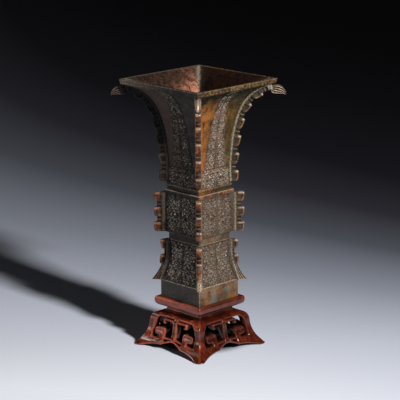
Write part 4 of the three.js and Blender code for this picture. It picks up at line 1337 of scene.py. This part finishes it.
    # Painted shade in the hollows, deeper on the half away from the light, over dark patina
    sunk = times(step(relief, 0.45, 0.05), step(sunny, 0, 1, 0.92, 0.64))
    colour = mix(sunk, colour, HOLLOW_PATINA_AND_SHADE)
    worn = sums("MULTIPLY_ADD", wear, 0.45, sums("SUBTRACT", fine, 0.315))
    rub = times(wear, step(worn, 0.36, 0.6, 0.15, 1.0))
    rub = times(rub, step(sunny, 0, 1, 0.95, 0.9))
    shade.fill(out, {
        "Color": mix(rub, colour, given["Rubbed"]),
        "Roughness": sums("MULTIPLY_ADD", rub, -0.2, step(inside, 0, 1, 0.56, 0.92)),
        "Metallic": step(rub, 0.0, 1.0, 0.05, 0.6),
        "Height": sums("ADD", fine, times(middle, 0.6)),
    })
    return group


def finish_material(name, tint):
    """An empty material with its Principled shader; the tint is what a plain viewport shows."""
    material = bpy.data.materials.new(name)
    material.use_nodes = True
    material.diffuse_color = paint(tint)
    tree = material.node_tree
    return material, Shading(tree), tree.nodes["Principled BSDF"]


def bronze_material(name, patina, colours):
    """Aged bronze from the patina group, with this piece's own colours and marks."""
    material, shade, shader = finish_material(name, colours["Warm"])
    coat = shade.tree.nodes.new("ShaderNodeGroup")
    coat.node_tree = patina
    marks = (("Relief_and_shade", "relief"), ("Wear_and_highlight", "wear"), ("Red", "rust"), ("Inside", "inside"))
    shade.fill(coat, colours)
    shade.fill(coat, {socket: shade.mark(mark) for socket, mark in marks})
    shade.fill(shader, {
        "Base Color": coat.outputs["Color"],
        "Roughness": coat.outputs["Roughness"],
        "Metallic": coat.outputs["Metallic"],
        "Normal": shade.bump(0.3, 0.0004, coat.outputs["Height"]),
        "Specular IOR Level": 0.09,
    })
    return material


def wood_material(name, stretch):
    """Polished reddish hardwood: streaks of grain drawn out along the wood, broad dark patches, rubbed
    edges that are also painted highlights along the board's nose and the legs' ridges, painted shade
    that darkens the half towards the light, painted shade on the backs of the fret, the board's
    underside and the waist, and a clear shine."""
    material, shade, shader = finish_material(name, WOOD_TINT)
    mix, step = shade.mix, shade.step
    place = shade.place()
    x, y, _ = shade.add("SeparateXYZ", {0: place})[:3]
    streak = shade.cloud(shade.stretched(place, stretch), 420, 4, 0.55)
    colour = mix(step(streak, 0.3, 0.72), *WOOD_GRAIN)
    colour = mix(step(shade.cloud(place, 70, 3, 0.5, 2), 0.42, 0.6, 0, 0.8), colour, WOOD_PATCH)
    # Rubbed edges, also painted highlights along the board's nose and the legs' ridges
    colour = mix(shade.times(shade.mark("wear"), 0.4), colour, WOOD_RUBBED_AND_HIGHLIGHT)
    # Painted shade that darkens the half towards the light
    colour = mix(step(shade.sums("ADD", x, y), -0.01, 0.01, 0.0, 0.7), colour, WOOD_PAINTED_SIDE_SHADE)
    # Painted shade on the backs of the fret, the board's underside and the waist
    colour = mix(step(shade.mark("relief"), 0.95, 0.4, 0.0, 0.92), colour, WOOD_PAINTED_SHADE)
    shade.fill(shader, {
        "Base Color": colour,
        "Roughness": step(streak, 0.3, 0.7, 0.12, 0.2),
        "Specular IOR Level": 0.3,
        "Coat Weight": 0.3,
        "Coat Roughness": 0.08,
        "Normal": shade.bump(0.06, 0.0003, streak),
    })
    return material


# Stage, light and camera

CAMERA_AZIMUTH = 45.44
CAMERA_PITCH = 14.30
CAMERA_DISTANCE = 2.0006
CAMERA_ROLL = -0.369
CAMERA_LENS = 164.5
CAMERA_SENSOR = 36
TARGET = Vector((0.000764, 0.000764, 0.16496))
LAMP_TARGET = Vector((0, 0, 0.15))

# Name, azimuth, pitch, distance, size, power, colour, and whether it lights matt and glossy surfaces
LAMPS = (
    ("key", 84, 30, 3.5, (0.34, 0.34), 204, (1.0, 0.98, 0.95), True, True),
    ("low_fill", -50, -2.1, 2.5, (1.0, 0.1), 38, (1.0, 0.97, 0.94), True, False),
    ("low_card", -50, 2, 2.3, (0.9, 0.2), 2.5, (1.0, 0.93, 0.9), False, True),
    ("side_card", -58, 23, 2.3, (0.25, 0.5), 8, (1.0, 0.93, 0.9), False, True),
)

# Colours of the floor along its fall, the painted fall-off of the studio light
FLOOR_REACH = 6.0
FLOOR_START = -0.2
FLOOR_END = 3.5
FLOOR_STOPS = (
    (-0.2, "f0f5ff"), (0.05, "cbd1e0"), (0.35, "8e94a2"), (0.6, "545862"), (0.85, "323139"), (1.2, "1a1920"),
    (2.0, "0e0c11"), (3.4, "040405"),
)
FALL_LIMIT = 0.6  # way to either side beyond which the fall stays the same
FALL_TURN = 1.13  # share of the way to the right times the way back
FALL_LEAN = 0.29  # share of the way to the right
FALL_BEND = 0.65  # share of its square
FLOOR_TINT = "dcdfe6"
# painted shadow on the floor under the stand
UNDER_STAND_SHADOW = "141416"
UNDER_STAND = Vector((-0.016, 0.016, 0))
UNDER_FADE = (0.042, 0.066)

# The room's even fill, and what the camera sees of it
FILL_COLOUR = (0.55, 0.58, 0.64, 1)
FILL_STRENGTH = 0.012
ROOM_COLOUR = (0.012, 0.012, 0.014, 1)


def direction(azimuth, pitch):
    """Unit vector from the object towards a point at an azimuth (0 is in front) and a pitch above."""
    a, p = math.radians(azimuth), math.radians(pitch)
    return Vector((math.cos(p) * math.sin(a), -math.cos(p) * math.cos(a), math.sin(p)))


def place_aimed(name, data, target, azimuth, pitch, distance, roll=0.0):
    """A camera or lamp at a distance from a target, looking at it."""
    made = bpy.data.objects.new(name, data)
    back = direction(azimuth, pitch)
    made.location = target + back * distance
    made.rotation_mode = "QUATERNION"
    turn = Quaternion((0, 0, 1), math.radians(roll))
    made.rotation_quaternion = (-back).to_track_quat("-Z", "Y") @ turn
    bpy.context.scene.collection.objects.link(made)
    return made


def place_camera():
    """Long lens at the photograph's angle, with its slight roll."""
    data = bpy.data.cameras.new("camera")
    data.sensor_width = CAMERA_SENSOR
    data.lens = CAMERA_LENS
    aim = (CAMERA_AZIMUTH, CAMERA_PITCH, CAMERA_DISTANCE, CAMERA_ROLL)
    bpy.context.scene.camera = place_aimed("camera", data, TARGET, *aim)


def place_lights():
    """Soft rectangular lamps that look at the middle of the object and aren't seen themselves."""
    for name, azimuth, pitch, distance, size, power, colour, matt, glossy in LAMPS:
        data = bpy.data.lights.new(name, "AREA")
        data.shape = "RECTANGLE"
        data.size, data.size_y = size
        data.energy = power
        data.color = colour
        lamp = place_aimed(name, data, LAMP_TARGET, azimuth, pitch, distance)
        lamp.visible_camera = False
        lamp.visible_diffuse = matt
        lamp.visible_glossy = glossy


def make_floor():
    """Pale floor whose colour falls away to charcoal towards the back, sooner on the right, a painted
    fall-off of the studio light: the fall is the way back, plus shares of the way to the right times
    the way back, of the way to the right and of its square. A painted shadow darkens the floor under
    the stand."""
    corners = [(x * FLOOR_REACH, y * FLOOR_REACH, 0) for x, y in ((-1, -1), (1, -1), (1, 1), (-1, 1))]
    mesh = bpy.data.meshes.new("floor")
    mesh.from_pydata(corners, [], [(0, 1, 2, 3)])
    material, shade, shader = finish_material("floor", FLOOR_TINT)
    place = shade.place()
    back, right = -direction(CAMERA_AZIMUTH, 0), direction(CAMERA_AZIMUTH + 90, 0)
    behind = shade.add("VectorMath", {0: place, 1: back}, operation="DOT_PRODUCT")["Value"]
    across = shade.add("VectorMath", {0: place, 1: right}, operation="DOT_PRODUCT")["Value"]
    across = shade.sums("MINIMUM", shade.sums("MAXIMUM", across, -FALL_LIMIT), FALL_LIMIT)
    far = shade.times(shade.sums("ABSOLUTE", behind), FALL_TURN)
    turn = shade.sums("MULTIPLY_ADD", far, across, behind)
    lean = shade.times(across, shade.sums("MULTIPLY_ADD", across, FALL_BEND, FALL_LEAN))
    fall = {"Value": shade.sums("ADD", turn, lean), "From Min": FLOOR_START, "From Max": FLOOR_END}
    ramp = shade.tree.nodes.new("ShaderNodeValToRGB")
    shade.fill(ramp, {"Fac": shade.add("MapRange", fall)[0]})
    elements = ramp.color_ramp.elements
    while len(elements) < len(FLOOR_STOPS):
        elements.new(0.5)
    for element, (distance, colour) in zip(elements, FLOOR_STOPS):
        element.position = (distance - FLOOR_START) / (FLOOR_END - FLOOR_START)
        element.color = paint(colour)
    # Painted shadow on the floor under the stand
    under = shade.add("VectorMath", {0: place, 1: UNDER_STAND}, operation="DISTANCE")["Value"]
    colour = shade.mix(shade.step(under, *UNDER_FADE, 1.0, 0.0), ramp.outputs[0], UNDER_STAND_SHADOW)
    shade.fill(shader, {"Base Color": colour, "Roughness": 0.7, "Specular IOR Level": 0.1})
    mesh.materials.append(material)
    floor = bpy.data.objects.new("floor", mesh)
    bpy.context.scene.collection.objects.link(floor)


def make_world():
    """Dim even fill; the camera, metal and glass see a charcoal room."""
    world = bpy.data.worlds.new("room")
    world.use_nodes = True
    tree = world.node_tree
    tree.nodes.clear()
    shade = Shading(tree)
    ray = shade.add("LightPath")
    seen = shade.sums("MAXIMUM", ray["Is Glossy Ray"], ray["Is Transmission Ray"])
    seen = shade.sums("MAXIMUM", ray["Is Camera Ray"], seen)
    colour = shade.mix(seen, FILL_COLOUR, ROOM_COLOUR)
    strength = shade.step(seen, 0, 1, FILL_STRENGTH, 1.0)
    back = shade.add("Background", {"Color": colour, "Strength": strength})
    shade.add("OutputWorld", {"Surface": back[0]})
    bpy.context.scene.world = world


# The object

patina = patina_group()
bronze = bronze_material("aged_bronze", patina, {
    "Dark": "1d1a1a", "Warm": "2e2927", "Gold": "855021",
    "Olive": "392c12", "Rust": "8a4d26", "Rubbed": "b5a892",
})
relief = bronze_material("cast_relief", patina, {
    "Dark": "131110", "Warm": "24201e", "Gold": "6e5444",
    "Olive": "564636", "Rust": "6a3f28", "Rubbed": "c4b8aa",
})
copper = bronze_material("hook_copper", patina, {
    "Dark": "17120e", "Warm": "2b211a", "Gold": "50362a",
    "Olive": "3c3426", "Rust": "804a2e", "Rubbed": "bcab96",
})
upright_wood = wood_material("leg_hardwood", (1, 1, 0.12))
level_wood = wood_material("board_hardwood", (0.12, 0.12, 1))

neck_wall(bronze)
belly_wall(bronze)
foot_wall(bronze)
cast_fields(relief)
for quarter in range(4):
    neck_flange(quarter, copper)
    belly_flange(quarter, copper)
    foot_flange(quarter, copper)
stand_sides(upright_wood, level_wood)
stand_top(level_wood)
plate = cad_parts["base_plate"]
for slot in plate.material_slots:
    slot.material = bronze

make_floor()
make_world()
place_lights()
place_camera()
bpy.context.scene.view_settings.view_transform = "Standard"
